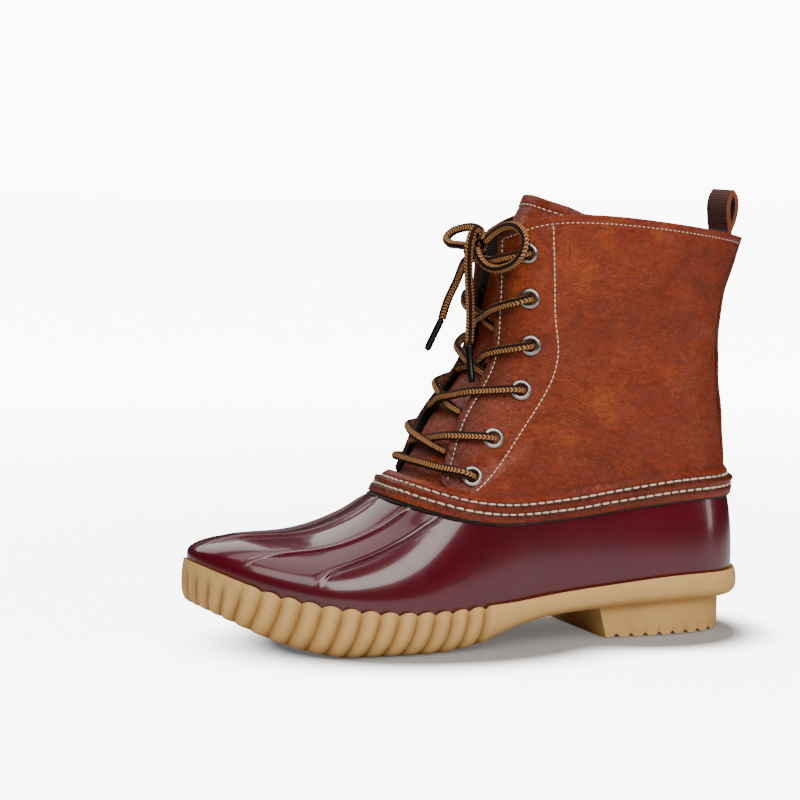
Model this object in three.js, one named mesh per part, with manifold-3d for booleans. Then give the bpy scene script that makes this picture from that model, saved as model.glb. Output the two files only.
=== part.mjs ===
// Duck boot for the left foot: a rubber shell on a ribbed outsole, under a laced leather shaft.
// Millimetres, +Z up, toe towards -X, outer side of the foot towards -Y.
// The origin is on the floor under the heel.
import * as THREE from 'three';
import Module from 'manifold-3d';

const wasm = await Module();
wasm.setup();

// Last: the form that shell, shaft, sole and insole all follow
const FORM_LENGTH = 263;
const BALL_WIDTH = 91;
const WAIST_WIDTH = 62;
const HEEL_WIDTH = 66;
const INSTEP_HEIGHT = 95;
const TOE_HEIGHT = 20;
const HEEL_PLAN_RADIUS = 33;
const TOE_PLAN_RADIUS = 34;
const HEEL_BACK_RADIUS = 169;
const TOE_CAP_RADIUS = 4;
const TOE_TURN = 8;
const SECTION_SQUARENESS = 2.2;

// Outsole: heel block, band, ribbed rand and its levels over the floor
const HEEL_HEIGHT = 16;
const BAND_HEIGHT = 12.5;
const RAND_HEIGHT = 20;
const TOE_SPRING = 18;
const FLOOR_THICKNESS = 5;
const RIM_BELOW_EDGE = 2;
const BAND_BULGE = 3.4;
const END_BULGE = 1.9;
const RIB_PITCH = 9;
const RIB_DEPTH = 1.4;
const RIB_START = 0.52;
const RIB_SLANT = 7;
const RIM_SCALLOP = 1.2;
const HEEL_BLOCK_LENGTH = 69.5;
const HEEL_BLOCK_INSET = 6;
const HEEL_BLOCK_BACK_INSET = 9.6;
const HEEL_BREAST_SLANT = 4.5;
const HEEL_NOTCH_PITCH = 7.2;
const HEEL_NOTCH_DEPTH = 1.5;
const HEEL_NOTCH_RADIUS = 1.7;
const HEEL_REST_FORWARD = 38;

// Rubber shell
const SHELL_WALL = 2.2;
const SHELL_TUCK = 3.5;
const SHELL_LAP = 8;
const BEAD_WIDTH = 3.2;
const BEAD_HEIGHT = 1;

// Leather shaft
const SHAFT_WALL = 2;
const HEM_HEIGHT = 64;
const HEM_BAND = 12.5;
const HEM_ROLL = 3.4;
const COLLAR_HEIGHT = 182;
const COLLAR_CROWN = 11;
const COLLAR_LENGTH = 125;
const COLLAR_WIDTH = 74;
const COLLAR_SET = 0.7;
const ANKLE_WIDTH = 67;
const RING_BACK_SQUARENESS = 2.2;
const RING_FRONT_SQUARENESS = 3.2;
const THROAT_TOP_GAP = 18;
const THROAT_BOTTOM_GAP = 52;

// Eyelets
const EYELET_BELOW_COLLAR = 13.6;
const EYELET_ABOVE_BAND = 7.6;
const EYELET_SETBACK = 19;
const EYELET_BORE = 5.2;
const EYELET_BARREL = 6.4;
const EYELET_FLANGE = 9.4;
const EYELET_METAL = 0.5;

// Back stay and pull loop
const BACK_STAY_WIDTH = 22;
const BACK_STAY_THICKNESS = 1.3;
const BACK_STAY_GAP = 0.4;
const STAY_START = 0.13;
const PULL_LOOP_WIDTH = 19;
const PULL_LOOP_LENGTH = 8;
const PULL_LOOP_HEIGHT = 22;
const PULL_LOOP_THICKNESS = 2;
const PULL_LOOP_SET = 2.2;

// Lace
const LACE_DIAMETER = 4;
const AGLET_DIAMETER = 3.2;

// Tongue and insole
const TONGUE_THICKNESS = 3;
const TONGUE_ABOVE_COLLAR = 17;
const TONGUE_LAP = 14;
const TONGUE_TOP_WIDTH = 84;
const TONGUE_DROP = 2.4;
const TONGUE_SHOULDER = 30;
const TONGUE_LEAN = 12;
const TONGUE_WRAP = 24;
const INSOLE_THICKNESS = 3.5;

// Gap kept between pieces that touch
const CLEARANCE = 0.3;
const FLOOR_GAP = 0.45;

const mix = THREE.MathUtils.lerp;
const clamp = THREE.MathUtils.clamp;
const smooth = THREE.MathUtils.smoothstep;
const OUTER = -1;
const INNER = 1;

// Smooth curve through one column of a table
function curveThrough(rows, from, to) {
  const keys = rows.map((row) => row[from]);
  const values = rows.map((row) => row[to]);
  const cubic = new THREE.CubicInterpolant(keys, values, 1);
  return (key) => cubic.evaluate(clamp(key, keys[0], keys[keys.length - 1]))[0];
}

// Last sections by their share of the length: half width, shift of the middle
// towards the inner side, and height of the crest over the edge line
const LAST = [
  { s: 0.15, half: 0.5 * HEEL_WIDTH, shift: 0, crest: 0.84 * INSTEP_HEIGHT },
  { s: 0.38, half: 0.5 * WAIST_WIDTH, shift: -0.016 * BALL_WIDTH, crest: INSTEP_HEIGHT },
  { s: 0.50, half: 0.4 * BALL_WIDTH, shift: -0.022 * BALL_WIDTH, crest: 0.9 * INSTEP_HEIGHT },
  { s: 0.61, half: 0.463 * BALL_WIDTH, shift: -0.02 * BALL_WIDTH, crest: 0.63 * INSTEP_HEIGHT },
  { s: 0.67, half: 0.49 * BALL_WIDTH, shift: -0.012 * BALL_WIDTH, crest: 0.46 * INSTEP_HEIGHT },
  { s: 0.75, half: 0.504 * BALL_WIDTH, shift: 0.004 * BALL_WIDTH, crest: 1.5 * TOE_HEIGHT },
  { s: 0.81, half: 0.5 * BALL_WIDTH, shift: 0.2 * TOE_TURN, crest: 1.16 * TOE_HEIGHT },
  { s: 0.87, half: 0.452 * BALL_WIDTH, shift: 0.4 * TOE_TURN, crest: 0.97 * TOE_HEIGHT },
  { s: 0.93, half: 0.362 * BALL_WIDTH, shift: 0.66 * TOE_TURN, crest: 0.74 * TOE_HEIGHT },
];
const stretch = (s) => 2 * Math.sqrt(Math.max(0, s * (1 - s)));
const roundEnd = (radius) => Math.sqrt((radius * FORM_LENGTH) / 2);

// A column of the last whose ends close round, with the radius given for each end
function roundedColumn(column, backRadius, tipRadius) {
  const inside = LAST.map((row) => ({ s: row.s, value: row[column] / stretch(row.s) }));
  const back = { s: 0, value: roundEnd(backRadius) };
  const tip = { s: 1, value: roundEnd(tipRadius) };
  const full = curveThrough([back, ...inside, tip], 's', 'value');
  return (s) => stretch(s) * full(s);
}
const halfWidthAt = roundedColumn('half', HEEL_PLAN_RADIUS, TOE_PLAN_RADIUS);
const crestAt = roundedColumn('crest', HEEL_BACK_RADIUS, TOE_CAP_RADIUS);
const shiftAt = curveThrough([{ s: 0, shift: 0 }, ...LAST, { s: 1, shift: TOE_TURN }], 's', 'shift');

// Sole levels: underside and rim of the band over the floor
const SOLE_LEVELS = [
  { s: 0, bottom: HEEL_HEIGHT, rim: HEEL_HEIGHT + BAND_HEIGHT },
  { s: 0.16, bottom: HEEL_HEIGHT, rim: HEEL_HEIGHT + BAND_HEIGHT },
  { s: 0.31, bottom: 0.88 * HEEL_HEIGHT, rim: HEEL_HEIGHT + 0.72 * BAND_HEIGHT },
  { s: 0.47, bottom: 0.56 * HEEL_HEIGHT, rim: 1.05 * RAND_HEIGHT },
  { s: 0.55, bottom: 0.14 * HEEL_HEIGHT, rim: 1.01 * RAND_HEIGHT },
  { s: 0.63, bottom: 0, rim: 0.98 * RAND_HEIGHT },
  { s: 0.72, bottom: 0, rim: 1.03 * RAND_HEIGHT },
  { s: 0.79, bottom: 0, rim: RAND_HEIGHT + 0.16 * TOE_SPRING },
  { s: 0.86, bottom: 0.17 * TOE_SPRING, rim: RAND_HEIGHT + 0.34 * TOE_SPRING },
  { s: 0.92, bottom: 0.45 * TOE_SPRING, rim: RAND_HEIGHT + 0.56 * TOE_SPRING },
  { s: 1, bottom: TOE_SPRING, rim: RAND_HEIGHT + TOE_SPRING },
];
const bottomCurve = curveThrough(SOLE_LEVELS, 's', 'bottom');
const bottomAt = (s) => Math.max(0, bottomCurve(s));
const rimAt = curveThrough(SOLE_LEVELS, 's', 'rim');
const edgeAt = (s) => rimAt(s) + RIM_BELOW_EDGE;
const floorAt = (s) => bottomAt(s) + FLOOR_THICKNESS;
const cupMiddleAt = (s) => mix(floorAt(s), rimAt(s), 0.5);

// Level of the shaft's lower edge
const HEM_LEVELS = [
  { s: 0, hem: HEM_HEIGHT },
  { s: 0.15, hem: 0.99 * HEM_HEIGHT },
  { s: 0.27, hem: 0.943 * HEM_HEIGHT },
  { s: 0.38, hem: 0.893 * HEM_HEIGHT },
  { s: 0.50, hem: 0.886 * HEM_HEIGHT },
  { s: 0.59, hem: 0.936 * HEM_HEIGHT },
  { s: 0.67, hem: 1.025 * HEM_HEIGHT },
  { s: 0.75, hem: 1.12 * HEM_HEIGHT },
];
const hemAt = curveThrough(HEM_LEVELS, 's', 'hem');

// Edge line of the last on one side, from heel back to toe tip, in plan
const OUTLINE_STEPS = 48;
function edgeLine(side) {
  const points = [];
  for (let i = 0; i <= OUTLINE_STEPS; i++) {
    const s = (1 - Math.cos((Math.PI * i) / OUTLINE_STEPS)) / 2;
    points.push(new THREE.Vector3(FORM_LENGTH * s, shiftAt(s) + side * halfWidthAt(s), 0));
  }
  return new THREE.CatmullRomCurve3(points);
}
const EDGE_LINES = { [OUTER]: edgeLine(OUTER), [INNER]: edgeLine(INNER) };

// Place, length share and outward direction on the edge line
function edgePoint(side, share) {
  const point = EDGE_LINES[side].getPointAt(clamp(share, 0, 1));
  const along = EDGE_LINES[side].getTangentAt(clamp(share, 0, 1));
  const out = new THREE.Vector3(-along.y, along.x, 0).multiplyScalar(side);
  if (share <= 0) out.set(-1, 0, 0);
  if (share >= 1) out.set(1, 0, 0);
  return { point, out, s: clamp(point.x / FORM_LENGTH, 0, 1) };
}

// Height of the last's skin over a point of its plan
function skinHeight(x, y) {
  const s = clamp(x / FORM_LENGTH, 0, 1);
  const reach = Math.min(1, Math.abs(y - shiftAt(s)) / Math.max(halfWidthAt(s), 1e-6));
  const rise = Math.pow(1 - Math.pow(reach, SECTION_SQUARENESS), 1 / SECTION_SQUARENESS);
  return edgeAt(s) + crestAt(s) * rise;
}

// Where a level curve over the last meets its crest line, between two length shares
function crestCrossing(level, inside, outside) {
  let near = inside;
  let far = outside;
  for (let i = 0; i < 40; i++) {
    const middle = (near + far) / 2;
    if (edgeAt(middle) + crestAt(middle) > level(middle)) near = middle;
    else far = middle;
  }
  return near;
}

// Line on the last's skin a given lift over the hem, on one side, from back to front
const HEM_STEPS = 30;
function hemLine(side, lift) {
  const level = (s) => hemAt(s) + lift;
  const back = crestCrossing(level, 0.2, 0);
  const front = crestCrossing(level, 0.35, 0.9);
  const points = [];
  for (let i = 0; i <= HEM_STEPS; i++) {
    const s = mix(back, front, (1 - Math.cos((Math.PI * i) / HEM_STEPS)) / 2);
    const rise = clamp((level(s) - edgeAt(s)) / crestAt(s), 0, 1);
    const reach = Math.pow(1 - Math.pow(rise, SECTION_SQUARENESS), 1 / SECTION_SQUARENESS);
    const inset = i === 0 || i === HEM_STEPS ? 0 : reach;
    points.push(new THREE.Vector3(FORM_LENGTH * s, shiftAt(s) + side * halfWidthAt(s) * inset, level(s)));
  }
  return new THREE.CatmullRomCurve3(points);
}

// Columns around the boot: back, outer side, front, inner side, from shares of one side
function columnsAround(shares) {
  const outer = shares.map((share) => ({ side: OUTER, share }));
  const inner = shares.slice(1, -1).reverse().map((share) => ({ side: INNER, share }));
  return [...outer, ...inner];
}

// Outward directions at the points of a grid that closes around
function gridDirections(grid) {
  const rows = grid.length;
  const columns = grid[0].length;
  return grid.map((line, r) => line.map((_, c) => {
    const up = grid[Math.min(r + 1, rows - 1)][c].clone().sub(grid[Math.max(r - 1, 0)][c]);
    const along = grid[r][(c + 1) % columns].clone().sub(grid[r][(c + columns - 1) % columns]);
    return along.cross(up).normalize();
  }));
}

// How far the true curve bows out between a point's column and the next
function bowAt(grid, r, c) {
  const columns = grid[r].length;
  const ends = grid[r][(c + 1) % columns].clone().add(grid[r][(c + columns - 1) % columns]);
  return grid[r][c].distanceTo(ends.multiplyScalar(0.5)) / 3;
}

// Moves each point of a grid outwards by the distance that its row and column ask for
function offsetGrid(grid, directions, distance) {
  return grid.map((line, r) => line.map((point, c) => (
    point.clone().addScaledVector(directions[r][c], distance(r, c))
  )));
}

// From the last's frame, x forward from the heel back, into the boot's frame
function intoBoot(point) {
  return new THREE.Vector3(HEEL_REST_FORWARD - point.x, point.y, point.z);
}

function geometryFrom(points, faces) {
  const geometry = new THREE.BufferGeometry();
  geometry.setAttribute('position', new THREE.Float32BufferAttribute(points.flatMap((p) => p.toArray()), 3));
  geometry.setIndex(faces);
  return geometry;
}

// Solid wall between an outer and an inner grid; cells that keep() refuses stay open
function wallGeometry(outer, inner, around, keep) {
  const rows = outer.length;
  const columns = outer[0].length;
  const cells = around ? columns : columns - 1;
  const faces = [];
  const out = (r, c) => r * columns + (c % columns);
  const into = (r, c) => (rows + r) * columns + (c % columns);
  const quad = (a, b, c, d) => faces.push(a, b, c, a, c, d);
  const open = (r, c) => {
    if (r < 0 || r >= rows - 1) return true;
    if (!around && (c < 0 || c >= cells)) return true;
    return !keep(r, (c + cells) % cells);
  };
  for (let r = 0; r < rows - 1; r++) {
    for (let c = 0; c < cells; c++) {
      if (open(r, c)) continue;
      quad(out(r, c), out(r + 1, c), out(r + 1, c + 1), out(r, c + 1));
      quad(into(r, c), into(r, c + 1), into(r + 1, c + 1), into(r + 1, c));
      if (open(r - 1, c)) quad(out(r, c), out(r, c + 1), into(r, c + 1), into(r, c));
      if (open(r + 1, c)) quad(out(r + 1, c + 1), out(r + 1, c), into(r + 1, c), into(r + 1, c + 1));
      if (open(r, c - 1)) quad(out(r + 1, c), out(r, c), into(r, c), into(r + 1, c));
      if (open(r, c + 1)) quad(out(r, c + 1), out(r + 1, c + 1), into(r + 1, c + 1), into(r, c + 1));
    }
  }
  return geometryFrom([...outer.flat(), ...inner.flat()].map(intoBoot), faces);
}

// Solid of rings from the floor's edge over the rim down to the underside's edge,
// closed across the floor and the underside by strips between the two sides
function dishGeometry(rings) {
  const columns = rings[0].length;
  const faces = [];
  const at = (r, c) => r * columns + (c % columns);
  const triangle = (a, b, c) => {
    if (a !== b && b !== c && c !== a) faces.push(a, b, c);
  };
  for (let r = 0; r < rings.length - 1; r++) {
    for (let c = 0; c < columns; c++) {
      triangle(at(r, c), at(r, c + 1), at(r + 1, c + 1));
      triangle(at(r, c), at(r + 1, c + 1), at(r + 1, c));
    }
  }
  const last = rings.length - 1;
  for (let i = 0; i < columns / 2; i++) {
    const across = [i, i + 1, columns - i - 1, columns - i];
    const [a, b, c, d] = across.map((column) => at(last, column));
    triangle(a, b, c);
    triangle(a, c, d);
    const [e, f, g, h] = across.map((column) => at(0, column));
    triangle(g, f, e);
    triangle(h, g, e);
  }
  return geometryFrom(rings.flat().map(intoBoot), faces);
}

function toManifold(geometry) {
  const vertProperties = new Float32Array(geometry.attributes.position.array);
  const triVerts = new Uint32Array(geometry.index.array);
  return new wasm.Manifold(new wasm.Mesh({ numProp: 3, vertProperties, triVerts }));
}

function fromManifold(solid) {
  const mesh = solid.getMesh();
  const geometry = new THREE.BufferGeometry();
  geometry.setAttribute('position', new THREE.BufferAttribute(new Float32Array(mesh.vertProperties), 3));
  geometry.setIndex(new THREE.BufferAttribute(new Uint32Array(mesh.triVerts), 1));
  return geometry;
}

// Point a distance outside the last's side, at a level under its edge line
function sidePoint(side, share, level, offset) {
  const { point, out, s } = edgePoint(side, share);
  const depth = clamp((edgeAt(s) - level) / (edgeAt(s) - floorAt(s)), 0, 1);
  const tucked = offset - SHELL_TUCK * depth * depth;
  return new THREE.Vector3(point.x + out.x * tucked, point.y + out.y * tucked, level);
}

// Outsole

// Columns of the outsole: plain at heel and waist, three to each rib from waist to toe tip
const PLAIN_COLUMNS = 14;
const PLAIN_SPREAD = 1.15;
const COLUMNS_A_RIB = 3;
const SHELL_COLUMNS_A_RIB = 0.6;
const ribCount = Math.round((EDGE_LINES[OUTER].getLength() * (1 - RIB_START)) / RIB_PITCH);
function plainShares() {
  const shares = [];
  for (let i = 0; i < PLAIN_COLUMNS; i++) shares.push(RIB_START * (i / PLAIN_COLUMNS) ** PLAIN_SPREAD);
  return shares;
}
function ribShares(columnsARib) {
  const count = Math.round(ribCount * columnsARib);
  const shares = [];
  for (let i = 0; i <= count; i++) shares.push(mix(RIB_START, 1, i / count));
  return shares;
}

// How deep the valley between two ribs is at a place, from 0 on a rib's crown to 1
function ribValley(share) {
  if (share < RIB_START - 1e-6) return 0;
  const phase = ((share - RIB_START) / (1 - RIB_START)) * ribCount;
  return 1 - Math.pow(Math.abs(Math.sin(Math.PI * phase)), 0.6);
}

// Rings of the band's side: share of its height from the rim down, place outside
// the last as a share of the bulge, depth of the ribs and their sweep to the toe
const SIDE_RINGS = [
  { down: 0, out: 0.6, rib: 0.55, sweep: 0 },
  { down: 0.2, out: 0.88, rib: 1, sweep: 0.1 },
  { down: 0.5, out: 1, rib: 1, sweep: 0.35 },
  { down: 0.82, out: 0.62, rib: 1, sweep: 0.75 },
  { down: 0.97, out: -0.45, rib: 0.8, sweep: 1 },
  { down: 1, out: -1.4, rib: 0, sweep: 1.1 },
];
// Columns shared by shell and insole
const footShares = () => [...plainShares(), ...ribShares(SHELL_COLUMNS_A_RIB)];

function outsoleBand() {
  const columns = columnsAround([...plainShares(), ...ribShares(COLUMNS_A_RIB)]);
  const cup = (level, offset) => columns.map(({ side, share }) => {
    const { s } = edgePoint(side, share);
    return sidePoint(side, share, level(s), offset);
  });
  const rings = [
    cup((s) => floorAt(s) - FLOOR_GAP, CLEARANCE - SHELL_WALL),
    cup((s) => floorAt(s) - FLOOR_GAP, CLEARANCE),
    cup(cupMiddleAt, CLEARANCE),
    cup((s) => rimAt(s) - 0.5 * RIM_SCALLOP, CLEARANCE),
  ];
  for (const ring of SIDE_RINGS) {
    rings.push(columns.map(({ side, share }) => {
      const valley = ribValley(share);
      const length = EDGE_LINES[side].getLength();
      const fade = smooth(share, RIB_START - 0.15, RIB_START + 0.1) * (1 - smooth(share, 0.85, 1));
      const { point, out, s } = edgePoint(side, share + (fade * ring.sweep * RIB_SLANT) / length);
      const rim = rimAt(s) - RIM_SCALLOP * valley * (1 - smooth(share, 0.84, 0.9));
      const tip = smooth(share, 0.86, 1);
      const bulge = mix(BAND_BULGE, END_BULGE, tip + 1 - smooth(share, 0, 0.1));
      const offset = ring.out * bulge - ring.rib * RIB_DEPTH * valley * (1 - 0.6 * tip);
      return new THREE.Vector3(point.x, point.y, mix(rim, bottomAt(s), ring.down)).addScaledVector(out, offset);
    }));
  }
  return dishGeometry(rings);
}

// Heel block: the heel's outline set in under the band, notched across its underside
const HEEL_BLOCK_STEPS = 24;
function heelBlock() {
  const top = 0.95 * HEEL_HEIGHT + 0.4 * FLOOR_THICKNESS;
  const outline = new THREE.Shape();
  const ends = [];
  for (let i = -HEEL_BLOCK_STEPS; i <= HEEL_BLOCK_STEPS; i++) {
    const side = i < 0 ? OUTER : INNER;
    const { point, out } = edgePoint(side, (0.4 * Math.abs(i)) / HEEL_BLOCK_STEPS);
    const inset = mix(HEEL_BLOCK_INSET, HEEL_BLOCK_BACK_INSET, Math.abs(out.x));
    ends.push(intoBoot(point.clone().addScaledVector(out, BAND_BULGE - inset)));
  }
  outline.setFromPoints(ends);
  const plug = new THREE.ExtrudeGeometry(outline, { depth: top, bevelEnabled: false });
  const back = HEEL_REST_FORWARD + BAND_BULGE;
  const breast = back - HEEL_BLOCK_BACK_INSET - HEEL_BLOCK_LENGTH;
  const profile = new THREE.Shape();
  profile.moveTo(back, top);
  profile.lineTo(breast - HEEL_BREAST_SLANT, top);
  profile.lineTo(breast, 0);
  const first = Math.ceil((breast + HEEL_NOTCH_PITCH / 2) / HEEL_NOTCH_PITCH - 0.5) + 0.5;
  const last = back - HEEL_BLOCK_BACK_INSET - HEEL_NOTCH_PITCH;
  for (let middle = first * HEEL_NOTCH_PITCH; middle < last; middle += HEEL_NOTCH_PITCH) {
    profile.lineTo(middle - HEEL_NOTCH_RADIUS, 0);
    profile.lineTo(middle - 0.5 * HEEL_NOTCH_RADIUS, 0.8 * HEEL_NOTCH_DEPTH);
    profile.lineTo(middle, HEEL_NOTCH_DEPTH);
    profile.lineTo(middle + 0.5 * HEEL_NOTCH_RADIUS, 0.8 * HEEL_NOTCH_DEPTH);
    profile.lineTo(middle + HEEL_NOTCH_RADIUS, 0);
  }
  profile.lineTo(back, 0);
  profile.closePath();
  const width = 2 * HEEL_WIDTH;
  const slab = new THREE.ExtrudeGeometry(profile, { depth: width, bevelEnabled: false });
  slab.rotateX(Math.PI / 2);
  slab.translate(0, width / 2, 0);
  return toManifold(mergedByPlace(plug)).intersect(toManifold(mergedByPlace(slab)));
}

// Same geometry with only its places kept, each shared by the faces that meet there
function mergedByPlace(geometry) {
  const source = geometry.index ? geometry.toNonIndexed() : geometry;
  const places = source.attributes.position;
  const seen = new Map();
  const points = [];
  const faces = [];
  for (let i = 0; i < places.count; i++) {
    const point = new THREE.Vector3().fromBufferAttribute(places, i);
    const key = point.toArray().map((value) => Math.round(value * 1e4)).join();
    if (!seen.has(key)) {
      seen.set(key, points.length);
      points.push(point);
    }
    faces.push(seen.get(key));
  }
  return geometryFrom(points, faces);
}

function outsoleGeometry() {
  return fromManifold(toManifold(outsoleBand()).add(heelBlock()));
}

// Insole
function insoleGeometry() {
  const columns = columnsAround(footShares());
  const ring = (lift, inset) => columns.map(({ side, share }) => {
    const { s } = edgePoint(side, share);
    return sidePoint(side, share, floorAt(s) + lift, -SHELL_WALL - CLEARANCE - inset);
  });
  return dishGeometry([
    ring(INSOLE_THICKNESS, 1),
    ring(0.7 * INSOLE_THICKNESS, 0.7),
    ring(CLEARANCE, 0.9),
  ]);
}

// Rubber shell

// Where a line up the shell starts on the edge line and where it meets the hem
const SHELL_LINES = [
  { edge: 0, hem: 0 },
  { edge: 0.333, hem: 0.487 },
  { edge: 0.55, hem: 0.7 },
  { edge: 0.783, hem: 0.811 },
  { edge: 0.9, hem: 0.885 },
  { edge: 1, hem: 1 },
];
const BEAD_LINES = [0.783, 0.9, 1];
const hemShareAt = curveThrough(SHELL_LINES, 'edge', 'hem');
const SHELL_ROWS = 8;
const HEM_LINE = { [OUTER]: hemLine(OUTER, 0), [INNER]: hemLine(INNER, 0) };
const LAP_LINE = { [OUTER]: hemLine(OUTER, SHELL_LAP), [INNER]: hemLine(INNER, SHELL_LAP) };

// Line up the shell's skin from the edge line to the hem
const LINE_STEPS = 24;
function shellLine(side, share) {
  const { point } = edgePoint(side, share);
  const hem = HEM_LINE[side].getPointAt(hemShareAt(share));
  const corner = new THREE.Vector2(mix(point.x, hem.x, 0.08), mix(point.y, hem.y, 0.9));
  const plan = new THREE.QuadraticBezierCurve(
    new THREE.Vector2(point.x, point.y), corner, new THREE.Vector2(hem.x, hem.y),
  );
  const points = [];
  for (let i = 0; i <= LINE_STEPS; i++) {
    const t = (i / LINE_STEPS) ** 2;
    const place = plan.getPoint(t);
    const height = i === 0 ? edgeAt(point.x / FORM_LENGTH) : skinHeight(place.x, place.y);
    points.push(new THREE.Vector3(place.x, place.y, height));
  }
  return new THREE.CatmullRomCurve3(points);
}

// Columns of the shell with three close ones on each bead
function shellShares() {
  const half = BEAD_WIDTH / 2 / EDGE_LINES[OUTER].getLength();
  const beads = BEAD_LINES.flatMap((share) => [share - half, share, share + half]).filter((share) => share <= 1);
  const plain = footShares();
  const clear = plain.filter((share) => beads.every((bead) => Math.abs(share - bead) > 2.2 * half));
  return [...clear, ...beads].sort((a, b) => a - b);
}

function shellGeometry() {
  const columns = columnsAround(shellShares());
  const lines = columns.map(({ side, share }) => shellLine(side, share));
  const below = (level) => columns.map(({ side, share }) => {
    const { s } = edgePoint(side, share);
    return sidePoint(side, share, level(s), 0);
  });
  const grid = [below(floorAt), below(cupMiddleAt)];
  for (let r = 0; r <= SHELL_ROWS; r++) {
    grid.push(lines.map((line) => line.getPointAt(r / SHELL_ROWS)));
  }
  grid.push(columns.map(({ side, share }) => LAP_LINE[side].getPointAt(hemShareAt(share))));
  const directions = gridDirections(grid);
  const bead = (r, c) => {
    const rise = smooth(r, 2.2, 4) * (1 - smooth(r, SHELL_ROWS, SHELL_ROWS + 2));
    return BEAD_LINES.includes(columns[c].share) ? BEAD_HEIGHT * rise : 0;
  };
  const outer = offsetGrid(grid, directions, bead);
  const inner = offsetGrid(grid, directions, () => -SHELL_WALL);
  return wallGeometry(outer, inner, true, () => true);
}

// Leather shaft

// Rings of the shaft over the instep: how far forward their back and front lie, their
// height and half width
const SHAFT_RINGS = [
  { back: 0.03, front: 0.587, height: 0.54, half: 0.507 * ANKLE_WIDTH },
  { back: 0.042, front: 0.507, height: 0.695, half: 0.5 * ANKLE_WIDTH },
  { back: 0.038, front: 0.488, height: 0.835, half: 0.473 * COLLAR_WIDTH },
];
// Height of the collar from back to front, over its back
const COLLAR_RISE = [
  { forward: 0, rise: 0 },
  { forward: 0.25, rise: 0.46 * COLLAR_CROWN },
  { forward: 0.5, rise: 0.82 * COLLAR_CROWN },
  { forward: 0.72, rise: COLLAR_CROWN },
  { forward: 0.86, rise: 0.95 * COLLAR_CROWN },
  { forward: 0.94, rise: 0.7 * COLLAR_CROWN },
  { forward: 1, rise: 0.2 * COLLAR_CROWN },
];
const collarRiseAt = curveThrough(COLLAR_RISE, 'forward', 'rise');
const RING_STEPS = 24;
function ringLine(side, ring, riseAt) {
  const points = [];
  for (let i = 0; i <= RING_STEPS; i++) {
    const forward = (1 - Math.cos((Math.PI * i) / RING_STEPS)) / 2;
    const squareness = forward < 0.5 ? RING_BACK_SQUARENESS : RING_FRONT_SQUARENESS;
    const reach = Math.pow(1 - Math.abs(2 * forward - 1) ** squareness, 1 / squareness);
    const out = i % RING_STEPS ? side * ring.half * reach : 0;
    points.push(new THREE.Vector3(mix(ring.back, ring.front, forward), out, ring.height + riseAt(forward)));
  }
  return new THREE.CatmullRomCurve3(points);
}
const level = () => 0;
const ringSizes = SHAFT_RINGS.map((ring) => ({
  back: ring.back * FORM_LENGTH, front: ring.front * FORM_LENGTH, height: ring.height * COLLAR_HEIGHT, half: ring.half,
}));
const COLLAR = {
  back: COLLAR_SET, front: COLLAR_SET + COLLAR_LENGTH, height: COLLAR_HEIGHT, half: COLLAR_WIDTH / 2,
};
const shaftLevels = (side) => [
  hemLine(side, 0), hemLine(side, 0.5 * HEM_BAND), hemLine(side, HEM_BAND),
  ...ringSizes.map((ring) => ringLine(side, ring, level)), ringLine(side, COLLAR, collarRiseAt),
];
const SHAFT_LEVELS = { [OUTER]: shaftLevels(OUTER), [INNER]: shaftLevels(INNER) };

// Point of the shaft's skin: share from back to front, then a lift over the hem and
// a share of the way from the band's top to the collar
function shaftPoint(side, share, lift, rise) {
  const spine = new THREE.CatmullRomCurve3(SHAFT_LEVELS[side].map((line) => line.getPointAt(clamp(share, 0, 1))));
  const length = spine.getLength();
  const along = lift + rise * (length - HEM_BAND);
  const point = spine.getPointAt(clamp(along / length, 0, 1));
  if (along > length) point.addScaledVector(spine.getTangentAt(1), along - length);
  return point;
}

// Length of the front half line at one height, and of the quarter's edge
function rowLength(side, rise) {
  const steps = 12;
  const points = [];
  for (let i = 0; i <= steps; i++) points.push(shaftPoint(side, i / steps, HEM_BAND, rise));
  return points.slice(1).reduce((sum, point, i) => sum + point.distanceTo(points[i]), 0);
}
const LENGTH_RISES = [0, 0.25, 0.5, 0.75, 1];
const rowLengths = (side) => curveThrough(
  LENGTH_RISES.map((rise) => ({ rise, length: rowLength(side, rise) })), 'rise', 'length',
);
const ROW_LENGTH = { [OUTER]: rowLengths(OUTER), [INNER]: rowLengths(INNER) };
const shareFromFront = (side, rise, distance) => 1 - distance / ROW_LENGTH[side](rise);
const THROAT = [
  { rise: 0, gap: 0.5 * THROAT_BOTTOM_GAP, setback: 0.62 * EYELET_SETBACK },
  { rise: 0.12, gap: 0.46 * THROAT_BOTTOM_GAP, setback: 0.8 * EYELET_SETBACK },
  { rise: 0.3, gap: 0.385 * THROAT_BOTTOM_GAP, setback: 1.13 * EYELET_SETBACK },
  { rise: 0.5, gap: 0.31 * THROAT_BOTTOM_GAP, setback: EYELET_SETBACK },
  { rise: 0.75, gap: 0.7 * THROAT_TOP_GAP, setback: 0.93 * EYELET_SETBACK },
  { rise: 1, gap: 0.5 * THROAT_TOP_GAP, setback: 0.97 * EYELET_SETBACK },
];
const throatGapAt = curveThrough(THROAT, 'rise', 'gap');
const eyeletSetbackAt = curveThrough(THROAT, 'rise', 'setback');
// Length of the quarter's edge up the throat
const QUARTER_STEPS = 10;
function quarterLength() {
  const edge = [];
  for (let i = 0; i <= QUARTER_STEPS; i++) {
    const rise = i / QUARTER_STEPS;
    edge.push(shaftPoint(OUTER, shareFromFront(OUTER, rise, throatGapAt(rise)), HEM_BAND, rise));
  }
  return new THREE.CatmullRomCurve3(edge).getLength();
}
const QUARTER_LENGTH = quarterLength();
const riseBelowCollar = (distance) => 1 - distance / QUARTER_LENGTH;
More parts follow.
